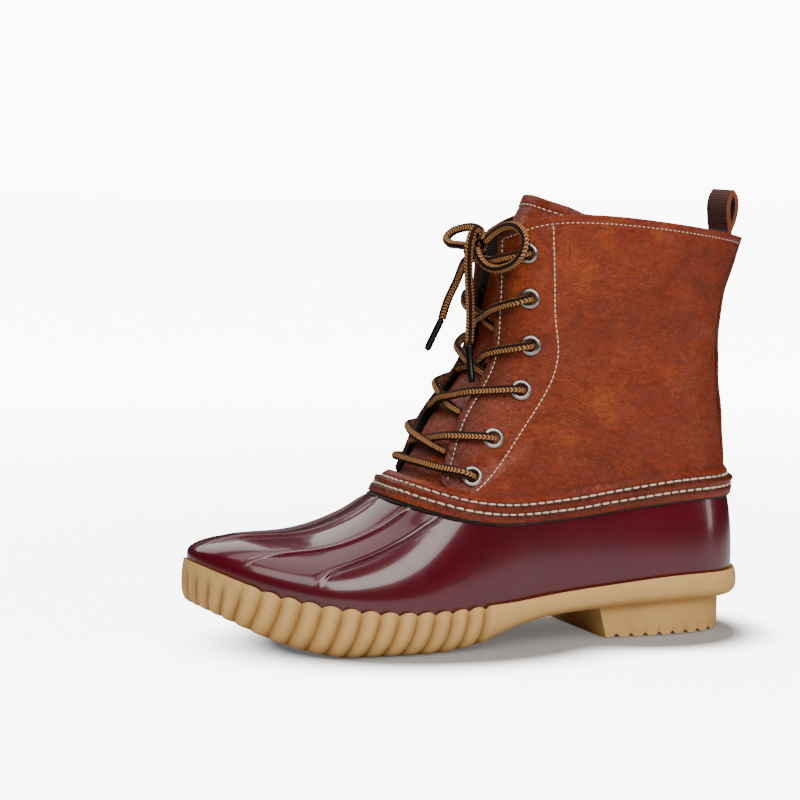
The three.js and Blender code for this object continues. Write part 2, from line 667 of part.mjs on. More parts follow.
// Eyelets down the quarter's edge, from the highest to the lowest
const EYELET_ROW = [{ down: 0 }, { down: 0.198 }, { down: 0.399 }, { down: 0.601 }, { down: 0.826 }, { down: 1 }];
const EYELET_ROW_LENGTH = QUARTER_LENGTH - EYELET_BELOW_COLLAR - EYELET_ABOVE_BAND;
const eyeletRise = (index) => riseBelowCollar(EYELET_BELOW_COLLAR + EYELET_ROW[index].down * EYELET_ROW_LENGTH);

const PLAIN_WALL_OUT = 0.1;
const HOLE_RADIUS = EYELET_BARREL / 2 / Math.cos(Math.PI / 8) + 2 * CLEARANCE;
const BAND_ROWS = [
  { lift: 0, out: 0.62 },
  { lift: 0.22 * HEM_BAND, out: 0.92 },
  { lift: 0.48 * HEM_BAND, out: 1 },
  { lift: 0.76 * HEM_BAND, out: 0.82 },
];
const BACK_COLUMNS = 11;
const THROAT_COLUMNS = 2;
const EDGE_COLUMNS = 2;

// Rows of the shaft from hem to collar: each has a lift or a rise, and its wall's place
function shaftRows() {
  const rows = BAND_ROWS.map(({ lift, out }) => ({ lift, rise: 0, out: out * HEM_ROLL, hole: null }));
  const above = [{ rise: 0, hole: null }];
  const step = HOLE_RADIUS / QUARTER_LENGTH;
  for (let i = EYELET_ROW.length - 1; i >= 0; i--) {
    const rise = eyeletRise(i);
    [-1, 0, 1].forEach((place) => above.push({ rise: rise + place * step, hole: { index: i, place } }));
    const next = i === 0 ? 1 : eyeletRise(i - 1) - step;
    above.push({ rise: mix(rise + step, next, 0.5), hole: null });
  }
  above.push({ rise: 1, hole: null });
  for (const { rise, hole } of above) {
    const out = mix(PLAIN_WALL_OUT, 0.5 * HEM_ROLL, 1 - smooth(rise, 0, 0.1));
    rows.push({ lift: HEM_BAND, rise, out, hole });
  }
  return rows;
}

// Columns of one side of the shaft, as distances from the middle of the front
function shaftColumns(side, rise) {
  const gap = throatGapAt(rise);
  const columns = [];
  for (let i = 0; i < THROAT_COLUMNS; i++) columns.push({ distance: (gap * i) / THROAT_COLUMNS, place: null });
  const middle = gap + eyeletSetbackAt(rise);
  for (let i = 0; i < EDGE_COLUMNS; i++) {
    columns.push({ distance: mix(gap, middle - HOLE_RADIUS, i / EDGE_COLUMNS), place: null });
  }
  [-1, 0, 1].forEach((place) => columns.push({ distance: middle + place * HOLE_RADIUS, place }));
  const start = middle + HOLE_RADIUS;
  const end = ROW_LENGTH[side](rise);
  for (let i = 1; i <= BACK_COLUMNS; i++) columns.push({ distance: mix(start, end, i / BACK_COLUMNS), place: null });
  return columns.reverse();
}

// For one eyelet, the distance and rise of a place a length back and up from its middle
function eyeletPlaces(side, index) {
  const middle = eyeletRise(index);
  const distance = throatGapAt(middle) + eyeletSetbackAt(middle);
  const at = (back, up) => {
    const rise = middle + up / QUARTER_LENGTH;
    return shaftPoint(side, shareFromFront(side, rise, distance + back), HEM_BAND, rise);
  };
  const reach = HOLE_RADIUS;
  const across = at(reach, 0).sub(at(-reach, 0)).divideScalar(2 * reach);
  const upward = at(0, reach).sub(at(0, -reach)).divideScalar(2 * reach);
  const scale = across.length();
  const lean = upward.dot(across) / scale;
  const climb = Math.sqrt(upward.lengthSq() - lean * lean);
  return (back, up) => ({
    distance: distance + (back - (lean * up) / climb) / scale,
    rise: middle + up / climb / QUARTER_LENGTH,
  });
}
const eyeletIndices = EYELET_ROW.map((_, index) => index);
const EYELET_PLACES = {
  [OUTER]: eyeletIndices.map((index) => eyeletPlaces(OUTER, index)),
  [INNER]: eyeletIndices.map((index) => eyeletPlaces(INNER, index)),
};

// Point of the shaft's grid; with round set, the points around a hole lie on its circle
function shaftVertex(side, row, column, round) {
  let { distance } = column;
  let { rise } = row;
  if (round && row.hole && column.place !== null) {
    const ring = Math.hypot(column.place, row.hole.place);
    const shrink = ring > 1 ? 1 / ring : 1;
    const reach = HOLE_RADIUS * shrink;
    ({ distance, rise } = EYELET_PLACES[side][row.hole.index](column.place * reach, row.hole.place * reach));
  }
  return shaftPoint(side, shareFromFront(side, rise, distance), row.lift, rise);
}

function shaftGrid(rows, round) {
  return rows.map((row) => {
    const outer = shaftColumns(OUTER, row.rise).map((column) => shaftVertex(OUTER, row, column, round));
    const inner = shaftColumns(INNER, row.rise).map((column) => shaftVertex(INNER, row, column, round));
    return [...outer, ...inner.slice(1, -1).reverse()];
  });
}

// Outer and inner points of the shaft's wall
function shaftWall() {
  const rows = shaftRows();
  const grid = shaftGrid(rows, true);
  const directions = gridDirections(shaftGrid(rows, false));
  const lapped = (r) => 1 - smooth(rows[r].rise, 0.02, 0.12);
  const outer = offsetGrid(grid, directions, (r) => rows[r].out);
  const inner = offsetGrid(grid, directions, (r, c) => (
    mix(rows[r].out - SHAFT_WALL, CLEARANCE + bowAt(grid, r, c), lapped(r))
  ));
  return { rows, outer, inner };
}
const SHAFT = shaftWall();

function shaftGeometry() {
  const { rows, outer, inner } = SHAFT;
  const side = BACK_COLUMNS + 3 + EDGE_COLUMNS + THROAT_COLUMNS - 1;
  const total = outer[0].length;
  const bandCells = BAND_ROWS.length;
  const keep = (r, c) => {
    const fromFront = Math.min(Math.abs(c - side + 0.5), Math.abs(c - side + 0.5 - total));
    const inThroat = fromFront < THROAT_COLUMNS;
    if (inThroat && r >= bandCells) return false;
    const edge = THROAT_COLUMNS + EDGE_COLUMNS;
    const inHoleColumn = fromFront > edge && fromFront < edge + 2;
    const holeRow = rows[r].hole && rows[r].hole.place < 1;
    return !(inHoleColumn && holeRow);
  };
  return wallGeometry(outer, inner, true, keep);
}

// Tongue
const TONGUE_COLUMNS = 10;
const TONGUE_ROWS = 12;
// Tongue by its share of the height: half width, how far it lies inside the shaft's wall
// and how far it leans back and wraps back at its sides
const TONGUE = [
  { rise: 0, half: 0.5 * THROAT_BOTTOM_GAP + TONGUE_LAP, drop: 0, lean: 0, wrap: 0 },
  { rise: 0.15, half: 0.46 * THROAT_BOTTOM_GAP + TONGUE_LAP, drop: TONGUE_DROP, lean: 0, wrap: 0 },
  { rise: 0.5, half: 0.31 * THROAT_BOTTOM_GAP + TONGUE_LAP, drop: TONGUE_DROP, lean: 0, wrap: 0 },
  { rise: 0.75, half: 0.44 * TONGUE_TOP_WIDTH, drop: TONGUE_DROP, lean: 0.18 * TONGUE_LEAN, wrap: 0.2 * TONGUE_WRAP },
  { rise: 1, half: 0.5 * TONGUE_TOP_WIDTH, drop: 1.5 * TONGUE_DROP, lean: TONGUE_LEAN, wrap: TONGUE_WRAP },
];
const tongueHalfAt = curveThrough(TONGUE, 'rise', 'half');
const tongueDropAt = curveThrough(TONGUE, 'rise', 'drop');
const tongueLeanAt = curveThrough(TONGUE, 'rise', 'lean');
const tongueWrapAt = curveThrough(TONGUE, 'rise', 'wrap');
function tongueGeometry() {
  const start = SHELL_LAP + 1.5;
  const grid = [];
  for (let r = 0; r <= TONGUE_ROWS; r++) {
    const rise = r / TONGUE_ROWS;
    const line = [];
    for (let c = 0; c <= TONGUE_COLUMNS; c++) {
      const across = (2 * c) / TONGUE_COLUMNS - 1;
      const side = across < 0 ? OUTER : INNER;
      const share = shareFromFront(side, Math.min(rise, 1), Math.abs(across) * tongueHalfAt(rise));
      const shoulder = TONGUE_SHOULDER * Math.abs(across) ** 2.2 * rise;
      const climb = rise * (1 + (TONGUE_ABOVE_COLLAR - shoulder) / QUARTER_LENGTH);
      line.push(shaftPoint(side, share, mix(start, HEM_BAND, Math.min(1, rise * 4)), climb));
    }
    grid.push(line);
  }
  const directions = grid.map((line, r) => line.map((_, c) => {
    const up = grid[Math.min(r + 1, TONGUE_ROWS)][c].clone().sub(grid[Math.max(r - 1, 0)][c]);
    const along = line[Math.min(c + 1, TONGUE_COLUMNS)].clone().sub(line[Math.max(c - 1, 0)]);
    return along.cross(up).normalize();
  }));
  const drop = (r) => SHAFT_WALL + CLEARANCE + tongueDropAt(r / TONGUE_ROWS);
  const outer = offsetGrid(grid, directions, (r) => -drop(r));
  const inner = offsetGrid(grid, directions, (r) => -drop(r) - TONGUE_THICKNESS);
  for (const skin of [outer, inner]) {
    skin.forEach((line, r) => line.forEach((point, c) => {
      const across = (2 * c) / TONGUE_COLUMNS - 1;
      point.x -= tongueLeanAt(r / TONGUE_ROWS) + tongueWrapAt(r / TONGUE_ROWS) * across * across;
    }));
  }
  return wallGeometry(outer, inner, false, () => true);
}

// Eyelets: a flange outside the wall and a barrel through it
const EYELET_SIDES = 10;
function eyeletGeometry() {
  const bore = EYELET_BORE / 2;
  const barrel = EYELET_BARREL / 2;
  const flange = EYELET_FLANGE / 2;
  const back = -SHAFT_WALL - 3 * CLEARANCE;
  const seat = 2 * CLEARANCE;
  const profile = [
    [bore, back], [barrel, back], [barrel, seat], [flange, seat],
    [flange - 0.3 * EYELET_METAL, seat + 1.4 * EYELET_METAL],
    [mix(bore, flange, 0.45), seat + 2 * EYELET_METAL],
    [bore, seat + EYELET_METAL], [bore, back],
  ];
  return new THREE.LatheGeometry(profile.map(([x, y]) => new THREE.Vector2(x, y)), EYELET_SIDES);
}

// Point of the shaft's wall by its place around an eyelet, in cells forward and up
function aroundEyelet(grid, side, index, forward, up) {
  const row = SHAFT.rows.findIndex(({ hole }) => hole && hole.index === index && hole.place === 0) + up;
  const fromBack = BACK_COLUMNS + 1 + forward;
  return grid[row][side === OUTER ? fromBack : grid[row].length - fromBack];
}

// Middle of an eyelet on the shaft's outside, with the direction that it faces
const HOLE_RING = [[-1, -1], [0, -1], [1, -1], [1, 0], [1, 1], [0, 1], [-1, 1], [-1, 0]];
function eyeletSeat(side, index) {
  const mean = (grid) => HOLE_RING.reduce((sum, [forward, up]) => (
    sum.add(aroundEyelet(grid, side, index, forward, up))
  ), new THREE.Vector3()).divideScalar(HOLE_RING.length);
  const outside = mean(SHAFT.outer);
  const out = outside.clone().sub(mean(SHAFT.inner)).normalize();
  const heights = HOLE_RING.flatMap(([forward, up]) => {
    const ring = aroundEyelet(SHAFT.outer, side, index, forward, up);
    const next = aroundEyelet(SHAFT.outer, side, index, 2 * forward, 2 * up);
    const reach = (EYELET_FLANGE / 2 - HOLE_RADIUS) / ring.distanceTo(next);
    return [ring, ring.clone().lerp(next, reach)].map((point) => point.clone().sub(outside).dot(out));
  });
  const middle = intoBoot(outside.addScaledVector(out, Math.max(...heights)));
  return { middle, out: new THREE.Vector3(-out.x, out.y, out.z) };
}

// Back stay: a strip of the shaft's own skin, laid over its back from band to collar
const STAY_ROWS = 10;
const STAY_HALF_COLUMNS = 2;
function backStayGeometry() {
  const grid = [];
  for (let r = 0; r <= STAY_ROWS; r++) {
    const rise = mix(STAY_START, 1, r / STAY_ROWS);
    const line = [];
    for (let c = -STAY_HALF_COLUMNS; c <= STAY_HALF_COLUMNS; c++) {
      const side = c < 0 ? INNER : OUTER;
      const share = (Math.abs(c) / STAY_HALF_COLUMNS) * (BACK_STAY_WIDTH / 2 / ROW_LENGTH[side](rise));
      line.push(shaftPoint(side, share, HEM_BAND, rise));
    }
    grid.push(line);
  }
  const directions = grid.map((line) => line.map(() => new THREE.Vector3(-1, 0, 0)));
  const out = (c) => PLAIN_WALL_OUT + BACK_STAY_GAP + 0.12 * Math.abs(c - STAY_HALF_COLUMNS);
  const outer = offsetGrid(grid, directions, (r, c) => out(c) + BACK_STAY_THICKNESS);
  const inner = offsetGrid(grid, directions, (r, c) => out(c));
  return wallGeometry(outer, inner, false, () => true);
}

// Pull loop: a strap bent into a teardrop over the back of the collar
const LOOP_PROFILE = [
  { forward: 0.58, up: -0.15 }, { forward: 0.42, up: 0 }, { forward: 0.52, up: 0.34 },
  { forward: 0.56, up: 0.62 }, { forward: 0.36, up: 0.88 }, { forward: 0.02, up: 1 },
  { forward: -0.34, up: 0.86 }, { forward: -0.46, up: 0.6 }, { forward: -0.32, up: 0.3 },
  { forward: 0.02, up: 0 }, { forward: 0.24, up: -0.15 },
];
const LOOP_STEPS = 22;
function pullLoopGeometry() {
  const middle = new THREE.CatmullRomCurve3(LOOP_PROFILE.map(({ forward, up }) => (
    new THREE.Vector3(-forward * PULL_LOOP_LENGTH, up * PULL_LOOP_HEIGHT, 0)
  )));
  const outer = [];
  const inner = [];
  for (let i = 0; i <= LOOP_STEPS; i++) {
    const point = middle.getPointAt(i / LOOP_STEPS);
    const along = middle.getTangentAt(i / LOOP_STEPS);
    const out = new THREE.Vector3(-along.y, along.x, 0).multiplyScalar(PULL_LOOP_THICKNESS / 2);
    outer.push(point.clone().add(out));
    inner.push(point.clone().sub(out));
  }
  const outline = new THREE.Shape([...outer, ...inner.reverse()].map((p) => new THREE.Vector2(p.x, p.y)));
  const strap = new THREE.ExtrudeGeometry(outline, { depth: PULL_LOOP_WIDTH, bevelEnabled: false });
  strap.rotateX(Math.PI / 2);
  strap.translate(0, PULL_LOOP_WIDTH / 2, 0);
  return mergedByPlace(strap);
}

// Lace: strands over the throat, and a bow at its top
const LACE_RADIUS = LACE_DIAMETER / 2;
const LACE_SIDES = 8;

// Round solid along a smooth curve through the given points
function cordAlong(points, radius, steps) {
  const section = new THREE.Shape();
  for (let i = 0; i < LACE_SIDES; i++) {
    const angle = (2 * Math.PI * i) / LACE_SIDES;
    const place = [radius * Math.cos(angle), radius * Math.sin(angle)];
    if (i === 0) section.moveTo(...place);
    else section.lineTo(...place);
  }
  const extrudePath = new THREE.CatmullRomCurve3(points);
  return mergedByPlace(new THREE.ExtrudeGeometry(section, { steps, extrudePath, bevelEnabled: false }));
}

// Point over the throat: a distance from the middle towards the inner side, a share of
// the height, and a lift over the shaft's skin
function overThroat(across, rise, lift) {
  const at = (distance, height) => {
    const side = distance < 0 ? OUTER : INNER;
    return shaftPoint(side, shareFromFront(side, height, Math.abs(distance)), HEM_BAND, height);
  };
  const reach = LACE_DIAMETER;
  const sideways = at(across + reach, rise).sub(at(across - reach, rise));
  const upward = at(across, rise + reach / QUARTER_LENGTH).sub(at(across, rise - reach / QUARTER_LENGTH));
  return intoBoot(at(across, rise).addScaledVector(sideways.cross(upward).normalize(), lift));
}

// Lifts of a strand's middle over the shaft's skin
const OVER_EYELET = 3 * CLEARANCE + 2 * EYELET_METAL + LACE_RADIUS;
const OVER_SKIN = 3 * CLEARANCE + LACE_RADIUS;
const OVER_TONGUE = LACE_RADIUS + 2 * CLEARANCE - (SHAFT_WALL + CLEARANCE + TONGUE_DROP);
const CROSSED = OVER_TONGUE + 1.7 * LACE_RADIUS;

// Strand from over its eyelet to under the other quarter's edge: its place between the
// eyelet (1), its quarter's edge (0) and the other edge (-1), how far it drops towards
// the next eyelet, and its lift where it passes over or under the strand that it crosses
const STRAND = [
  { place: 0.35, drop: 0.06, over: OVER_SKIN, under: OVER_SKIN },
  { place: 0, drop: 0.13, over: 0.95 * OVER_SKIN, under: 0.9 * OVER_SKIN },
  { place: -0.3, drop: 0.25, over: mix(CROSSED, OVER_SKIN, 0.4), under: mix(OVER_TONGUE, OVER_SKIN, 0.3) },
  { place: -0.5, drop: 0.34, over: CROSSED, under: OVER_TONGUE },
  { place: -0.75, drop: 0.45, over: mix(OVER_TONGUE, CROSSED, 0.35), under: OVER_TONGUE },
  { place: -1, drop: 0.54, over: OVER_TONGUE, under: OVER_TONGUE },
];
const STRAND_STEPS = 10;
const STRAND_END = 1.4;

// Start of a strand: over the eyelet's middle, then over its rim on the way to a point
function overEyelet(side, index, towards) {
  const { middle, out } = eyeletSeat(side, index);
  const start = middle.addScaledVector(out, OVER_EYELET);
  const along = towards.clone().sub(start);
  along.addScaledVector(out, -along.dot(out)).setLength(EYELET_FLANGE / 2);
  return [start, along.add(start)];
}

function strand(side, index, lift) {
  const points = [];
  for (const row of STRAND) {
    const rise = mix(eyeletRise(index), eyeletRise(index + 1), row.drop);
    const gap = throatGapAt(rise);
    const from = row.place > 0 ? gap + row.place * eyeletSetbackAt(rise) : gap * (1 + 2 * row.place);
    points.push(overThroat(side * Math.max(from, STRAND_END - gap), rise, row[lift]));
  }
  return toManifold(cordAlong([...overEyelet(side, index, points[0]), ...points], LACE_RADIUS, STRAND_STEPS));
}

// Two strands that cross over the throat, each from its own eyelet
function crossingGeometry(index) {
  const [above, below] = index % 2 ? [OUTER, INNER] : [INNER, OUTER];
  return fromManifold(strand(above, index, 'over').add(strand(below, index, 'under')));
}

// Bar from one eyelet to its opposite over the throat
const BAR_STEPS = 16;
function barGeometry(index, middleLift) {
  const rise = eyeletRise(index);
  const gap = throatGapAt(rise);
  const between = [
    { across: -gap, lift: OVER_SKIN }, { across: -0.45 * gap, lift: mix(OVER_SKIN, middleLift, 0.6) },
    { across: 0, lift: middleLift },
    { across: 0.45 * gap, lift: mix(OVER_SKIN, middleLift, 0.6) }, { across: gap, lift: OVER_SKIN },
  ].map(({ across, lift }) => overThroat(across, rise, lift));
  const start = overEyelet(OUTER, index, between[0]);
  const end = overEyelet(INNER, index, between[between.length - 1]);
  return cordAlong([...start, ...between, ...end.reverse()], LACE_RADIUS, BAR_STEPS);
}

// Bow: knot, two loops and two ends with their tips, by points chosen along each
const KNOT_MIDDLE = [-94, -2, 178.5];
const LOOP_LATERAL = [
  [-92.6, -6.5, 179.6], [-90.8, -10.8, 183.2], [-89, -16.6, 186.3], [-87.2, -23, 187.5], [-86.2, -28.8, 186.2],
  [-85.9, -34, 181.7], [-86.9, -34, 176.3], [-88, -29.6, 171.9], [-89.6, -23.4, 169.2], [-91.8, -17.2, 167.8],
  [-94.8, -12.5, 169], [-97.3, -10, 172.6], [-97.2, -7, 175.8],
];
const LOOP_MEDIAL = [
  [-91.5, 1.5, 180.2], [-89.6, 6, 183.8], [-91, 11, 185.2], [-93.6, 16.5, 184.6], [-96.8, 21, 182.6],
  [-99.2, 22.2, 179.6], [-98.9, 19, 177.3], [-97, 13, 177], [-95.6, 7, 176.8], [-95, 2, 176.8],
];
const END_LATERAL = [
  [-95.83, -4.13, 182.16], [-97, -5.5, 184.5], [-100, -8.4, 184], [-102.2, -10, 179], [-102.4, -9.8, 171.4], [-101.8, -9.4, 162.4],
  [-101, -9.4, 153.4], [-101.2, -10.6, 144.4], [-102, -12.2, 134.4],
];
const TIP_LATERAL = [[-102.1, -12.4, 133.6], [-102, -13.6, 125.8], [-101.8, -15.6, 117]];
const END_MEDIAL = [
  [-96.79, -2.45, 174.99], [-98.65, -2.75, 172.65], [-99.6, 1, 169.6], [-99.2, 5, 166.4], [-98.6, 10.6, 161.1], [-100.6, 16, 151.6], [-101.9, 19, 143.2],
];
const TIP_MEDIAL = [[-102.1, 19.3, 142.4], [-104.2, 22, 135.6], [-106.4, 25, 128.2]];
const inPlaces = (points) => points.map((place) => new THREE.Vector3(...place));
const CORD_STEPS = 16;
const TIP_STEPS = 2;

function bowGeometry() {
  const knot = new THREE.SphereGeometry(1.1 * LACE_DIAMETER, 12, 8);
  knot.scale(1, 1.15, 1);
  knot.translate(...KNOT_MIDDLE);
  const loops = [LOOP_LATERAL, LOOP_MEDIAL].map((route) => (
    toManifold(cordAlong(inPlaces(route), LACE_RADIUS, CORD_STEPS))
  ));
  return fromManifold(loops.reduce((solid, piece) => solid.add(piece), toManifold(mergedByPlace(knot))));
}

// Materials and assembly
const finish = (color, roughness, metalness) => new THREE.MeshStandardMaterial({ color, roughness, metalness });
const LEATHER = () => finish(0x8a4526, 0.5, 0);
const SHELL_RUBBER = () => finish(0x4a1018, 0.15, 0);
const SOLE_RUBBER = () => finish(0xcbab7c, 0.7, 0);
const FOOTBED = () => finish(0x1c1a1a, 0.9, 0);
const STEEL = () => finish(0xc9c9c6, 0.25, 1);
const STRAP = () => finish(0x54403a, 0.7, 0);
const BRAID = () => finish(0x5b3a22, 0.8, 0);
const TIP_PLASTIC = () => finish(0x161616, 0.3, 0);

const boot = new THREE.Group();
function addPiece(name, geometry, material) {
  const mesh = new THREE.Mesh(geometry, material);
  mesh.name = name;
  boot.add(mesh);
  return mesh;
}

addPiece('outsole', outsoleGeometry(), SOLE_RUBBER());
addPiece('insole', insoleGeometry(), FOOTBED());
addPiece('shell', shellGeometry(), SHELL_RUBBER());
addPiece('shaft', shaftGeometry(), LEATHER());
addPiece('tongue', tongueGeometry(), LEATHER());
addPiece('back_stay', backStayGeometry(), LEATHER());

const loop = addPiece('pull_loop', pullLoopGeometry(), STRAP());
const loopBack = COLLAR_SET + SHAFT_WALL + CLEARANCE + PULL_LOOP_THICKNESS / 2 + PULL_LOOP_SET;
loop.position.set(HEEL_REST_FORWARD - loopBack, 0, COLLAR_HEIGHT);

const eyeletSides = [{ side: OUTER, name: 'lateral' }, { side: INNER, name: 'medial' }];
for (const { side, name } of eyeletSides) {
  for (const index of eyeletIndices) {
    const { middle, out } = eyeletSeat(side, index);
    const eyelet = addPiece(`eyelet_${name}_${index + 1}`, mergedByPlace(eyeletGeometry()), STEEL());
    eyelet.quaternion.setFromUnitVectors(new THREE.Vector3(0, 1, 0), out);
    eyelet.position.copy(middle);
  }
}

addPiece('lace_bar', barGeometry(EYELET_ROW.length - 1, CROSSED), BRAID());
for (const index of eyeletIndices.slice(1, -1)) {
  addPiece(`lace_cross_${index + 1}`, crossingGeometry(index), BRAID());
}
addPiece('lace_tie', barGeometry(0, OVER_TONGUE), BRAID());
addPiece('lace_bow', bowGeometry(), BRAID());
addPiece('lace_end_lateral', cordAlong(inPlaces(END_LATERAL), LACE_RADIUS, CORD_STEPS), BRAID());
addPiece('lace_end_medial', cordAlong(inPlaces(END_MEDIAL), LACE_RADIUS, CORD_STEPS), BRAID());
addPiece('aglet_lateral', cordAlong(inPlaces(TIP_LATERAL), AGLET_DIAMETER / 2, TIP_STEPS), TIP_PLASTIC());
addPiece('aglet_medial', cordAlong(inPlaces(TIP_MEDIAL), AGLET_DIAMETER / 2, TIP_STEPS), TIP_PLASTIC());

export default boot;
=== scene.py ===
"""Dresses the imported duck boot: a ribbed outsole, a glossy rubber shell and a laced leather shaft.

Sizes are in millimetres inside the classes, and every finished piece is in metres in the frame's own axes:
toe towards -X, outer side of the foot towards -Y, +Z up, with the origin on the floor under the heel.
"""
import logging
import math
from dataclasses import dataclass
from enum import Enum
from typing import Callable, Sequence

import bpy
import numpy as np
from mathutils import Matrix, Vector


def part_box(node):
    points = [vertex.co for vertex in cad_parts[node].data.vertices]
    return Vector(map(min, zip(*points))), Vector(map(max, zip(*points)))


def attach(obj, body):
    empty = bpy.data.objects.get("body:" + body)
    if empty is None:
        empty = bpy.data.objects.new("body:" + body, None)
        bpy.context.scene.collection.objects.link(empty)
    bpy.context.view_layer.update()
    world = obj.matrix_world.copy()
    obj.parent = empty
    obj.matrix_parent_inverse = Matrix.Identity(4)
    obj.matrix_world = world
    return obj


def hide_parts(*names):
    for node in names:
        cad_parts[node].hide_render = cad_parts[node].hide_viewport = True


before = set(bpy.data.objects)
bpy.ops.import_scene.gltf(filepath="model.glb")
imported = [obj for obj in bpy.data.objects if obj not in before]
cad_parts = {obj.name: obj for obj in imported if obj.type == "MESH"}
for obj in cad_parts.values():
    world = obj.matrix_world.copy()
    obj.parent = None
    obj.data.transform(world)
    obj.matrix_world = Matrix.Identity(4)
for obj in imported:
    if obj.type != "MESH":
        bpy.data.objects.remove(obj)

LOG = logging.getLogger("duck_boot")
MM = 0.001
MIRRORED = np.array([-1, 1, 1])
BRAID_SHARE = 0.97
MIDDLE = (-0.09, 0, 0.08)
Array = np.ndarray
Values = np.ndarray | float
Point = tuple[float, float, float]
Points = tuple[Point, ...]
Quad = tuple[float, float, float, float]
ShaderNode = bpy.types.Node
ShaderSocket = bpy.types.NodeSocket
Piece = bpy.types.Object


class Side(Enum):
    """Side of the foot, valued by its sign across the boot."""

    OUTER = -1
    INNER = 1


# Curves


def mix(low: Values, high: Values, share: Values) -> Values:
    """Returns the value a share of the way from low to high."""
    return low + (high - low) * share


def smooth(value: Values, low: float, high: float) -> Array:
    """Returns 0 below low, 1 above high and an S curve between them."""
    t = np.clip((np.asarray(value, float) - low) / (high - low), 0, 1)
    return t * t * (3 - 2 * t)


def hump(value: Values, middle: float, half: float) -> Array:
    """Returns a rounded bump of height 1 around the middle, which is 0 beyond half its width."""
    t = np.clip(np.abs(np.asarray(value, float) - middle) / half, 0, 1)
    return 0.5 * (1 + np.cos(np.pi * t))


class Profile:
    """Smooth curve through one column of a short table."""

    def __init__(self, keys: Sequence[float], values: Sequence[float]) -> None:
        """Keeps the table.

        Args:
            keys: The rows' keys, in rising order.
            values: The value of each row.
        """
        self.keys = np.asarray(keys, float)
        self.values = np.asarray(values, float)

    def __call__(self, key: Values) -> Array:
        """Returns the curve's values.

        Args:
            key: One key or an array of them.
        Returns:
            The values, by cubics that pass through every row.
        """
        keys, values, count = self.keys, self.values, len(self.keys)
        place = np.clip(np.asarray(key, float), keys[0], keys[-1])
        high = np.clip(np.searchsorted(keys, place, side="right"), 1, count - 1)
        low = high - 1
        before = np.where(low >= 1, low - 1, high)
        after = np.where(high + 1 < count, np.minimum(high + 1, count - 1), low)
        start, end = keys[low], keys[high]
        half = (end - start) / 2
        lead = half / (start - keys[before])
        trail = half / (keys[after] - end)
        p = (place - start) / (end - start)
        pp, ppp = p * p, p * p * p
        return (
            (-lead * ppp + 2 * lead * pp - lead * p) * values[before]
            + ((1 + lead) * ppp + (-1.5 - 2 * lead) * pp + (-0.5 + lead) * p + 1) * values[low]
            + ((-1 - trail) * ppp + (1.5 + trail) * pp + 0.5 * p) * values[high]
            + (trail * ppp - trail * pp) * values[after]
        )


class Route:
    """Smooth line through a few points, read by its share of the length."""

    def __init__(self, points: Sequence[Sequence[float]], steps: int = 24) -> None:
        """Samples the line.

        Args:
            points: The points that it passes through.
            steps: How many samples each stretch between two points gets.
        """
        known = np.asarray(points, float)
        wide = np.vstack([2 * known[0] - known[1], known, 2 * known[-1] - known[-2]])
        p0, p1, p2, p3 = wide[:-3], wide[1:-2], wide[2:-1], wide[3:]
        gap = [np.sqrt(np.linalg.norm(b - a, axis=1))[:, None] for a, b in ((p0, p1), (p1, p2), (p2, p3))]
        gap[1] = np.where(gap[1] < 1e-4, 1.0, gap[1])
        gap[0] = np.where(gap[0] < 1e-4, gap[1], gap[0])
        gap[2] = np.where(gap[2] < 1e-4, gap[1], gap[2])
        first = ((p1 - p0) / gap[0] - (p2 - p0) / (gap[0] + gap[1]) + (p2 - p1) / gap[1]) * gap[1]
        second = ((p2 - p1) / gap[1] - (p3 - p1) / (gap[1] + gap[2]) + (p3 - p2) / gap[2]) * gap[1]
        cubic = -3 * p1 + 3 * p2 - 2 * first - second
        quartic = 2 * p1 - 2 * p2 + first + second
        w = np.linspace(0, 1, steps, endpoint=False)[None, :, None]
        dense = p1[:, None] + first[:, None] * w + cubic[:, None] * w**2 + quartic[:, None] * w**3
        self.samples = np.vstack([dense.reshape(-1, known.shape[1]), known[-1]])
        self.reach = np.concatenate([[0], np.cumsum(np.linalg.norm(np.diff(self.samples, axis=0), axis=1))])
        self.length = float(self.reach[-1])

    def at(self, share: Values) -> Array:
        """Returns the points at shares of the length."""
        place = np.clip(np.asarray(share, float), 0, 1) * self.length
        return np.stack([np.interp(place, self.reach, column) for column in self.samples.T], axis=-1)

    def along(self, share: Values, reach: float = 1e-3) -> Array:
        """Returns the unit directions at shares of the length."""
        share = np.asarray(share, float)
        return unit(self.at(np.minimum(share + reach, 1)) - self.at(np.maximum(share - reach, 0)))

    def places(self, spacing: float) -> Array:
        """Returns points a spacing apart from end to end."""
        count = max(2, int(round(self.length / spacing)) + 1)
        return self.at(np.linspace(0, 1, count))


def unit(vectors: Array) -> Array:
    """Returns the vectors at length 1."""
    return vectors / np.maximum(np.linalg.norm(vectors, axis=-1, keepdims=True), 1e-12)


def grid_normals(grid: Array, around: bool) -> Array:
    """Returns unit directions out of a grid of points.

    Args:
        grid: Rows by columns of points.
        around: Whether the last column is the first one again.
    Returns:
        One direction for each point.
    """
    up = np.empty_like(grid)
    up[1:-1] = grid[2:] - grid[:-2]
    up[0], up[-1] = grid[1] - grid[0], grid[-1] - grid[-2]
    along = np.empty_like(grid)
    along[:, 1:-1] = grid[:, 2:] - grid[:, :-2]
    if around:
        along[:, 0] = along[:, -1] = grid[:, 1] - grid[:, -2]
    else:
        along[:, 0], along[:, -1] = grid[:, 1] - grid[:, 0], grid[:, -1] - grid[:, -2]
    return unit(np.cross(along, up))


# The form that every soft and rubber part follows


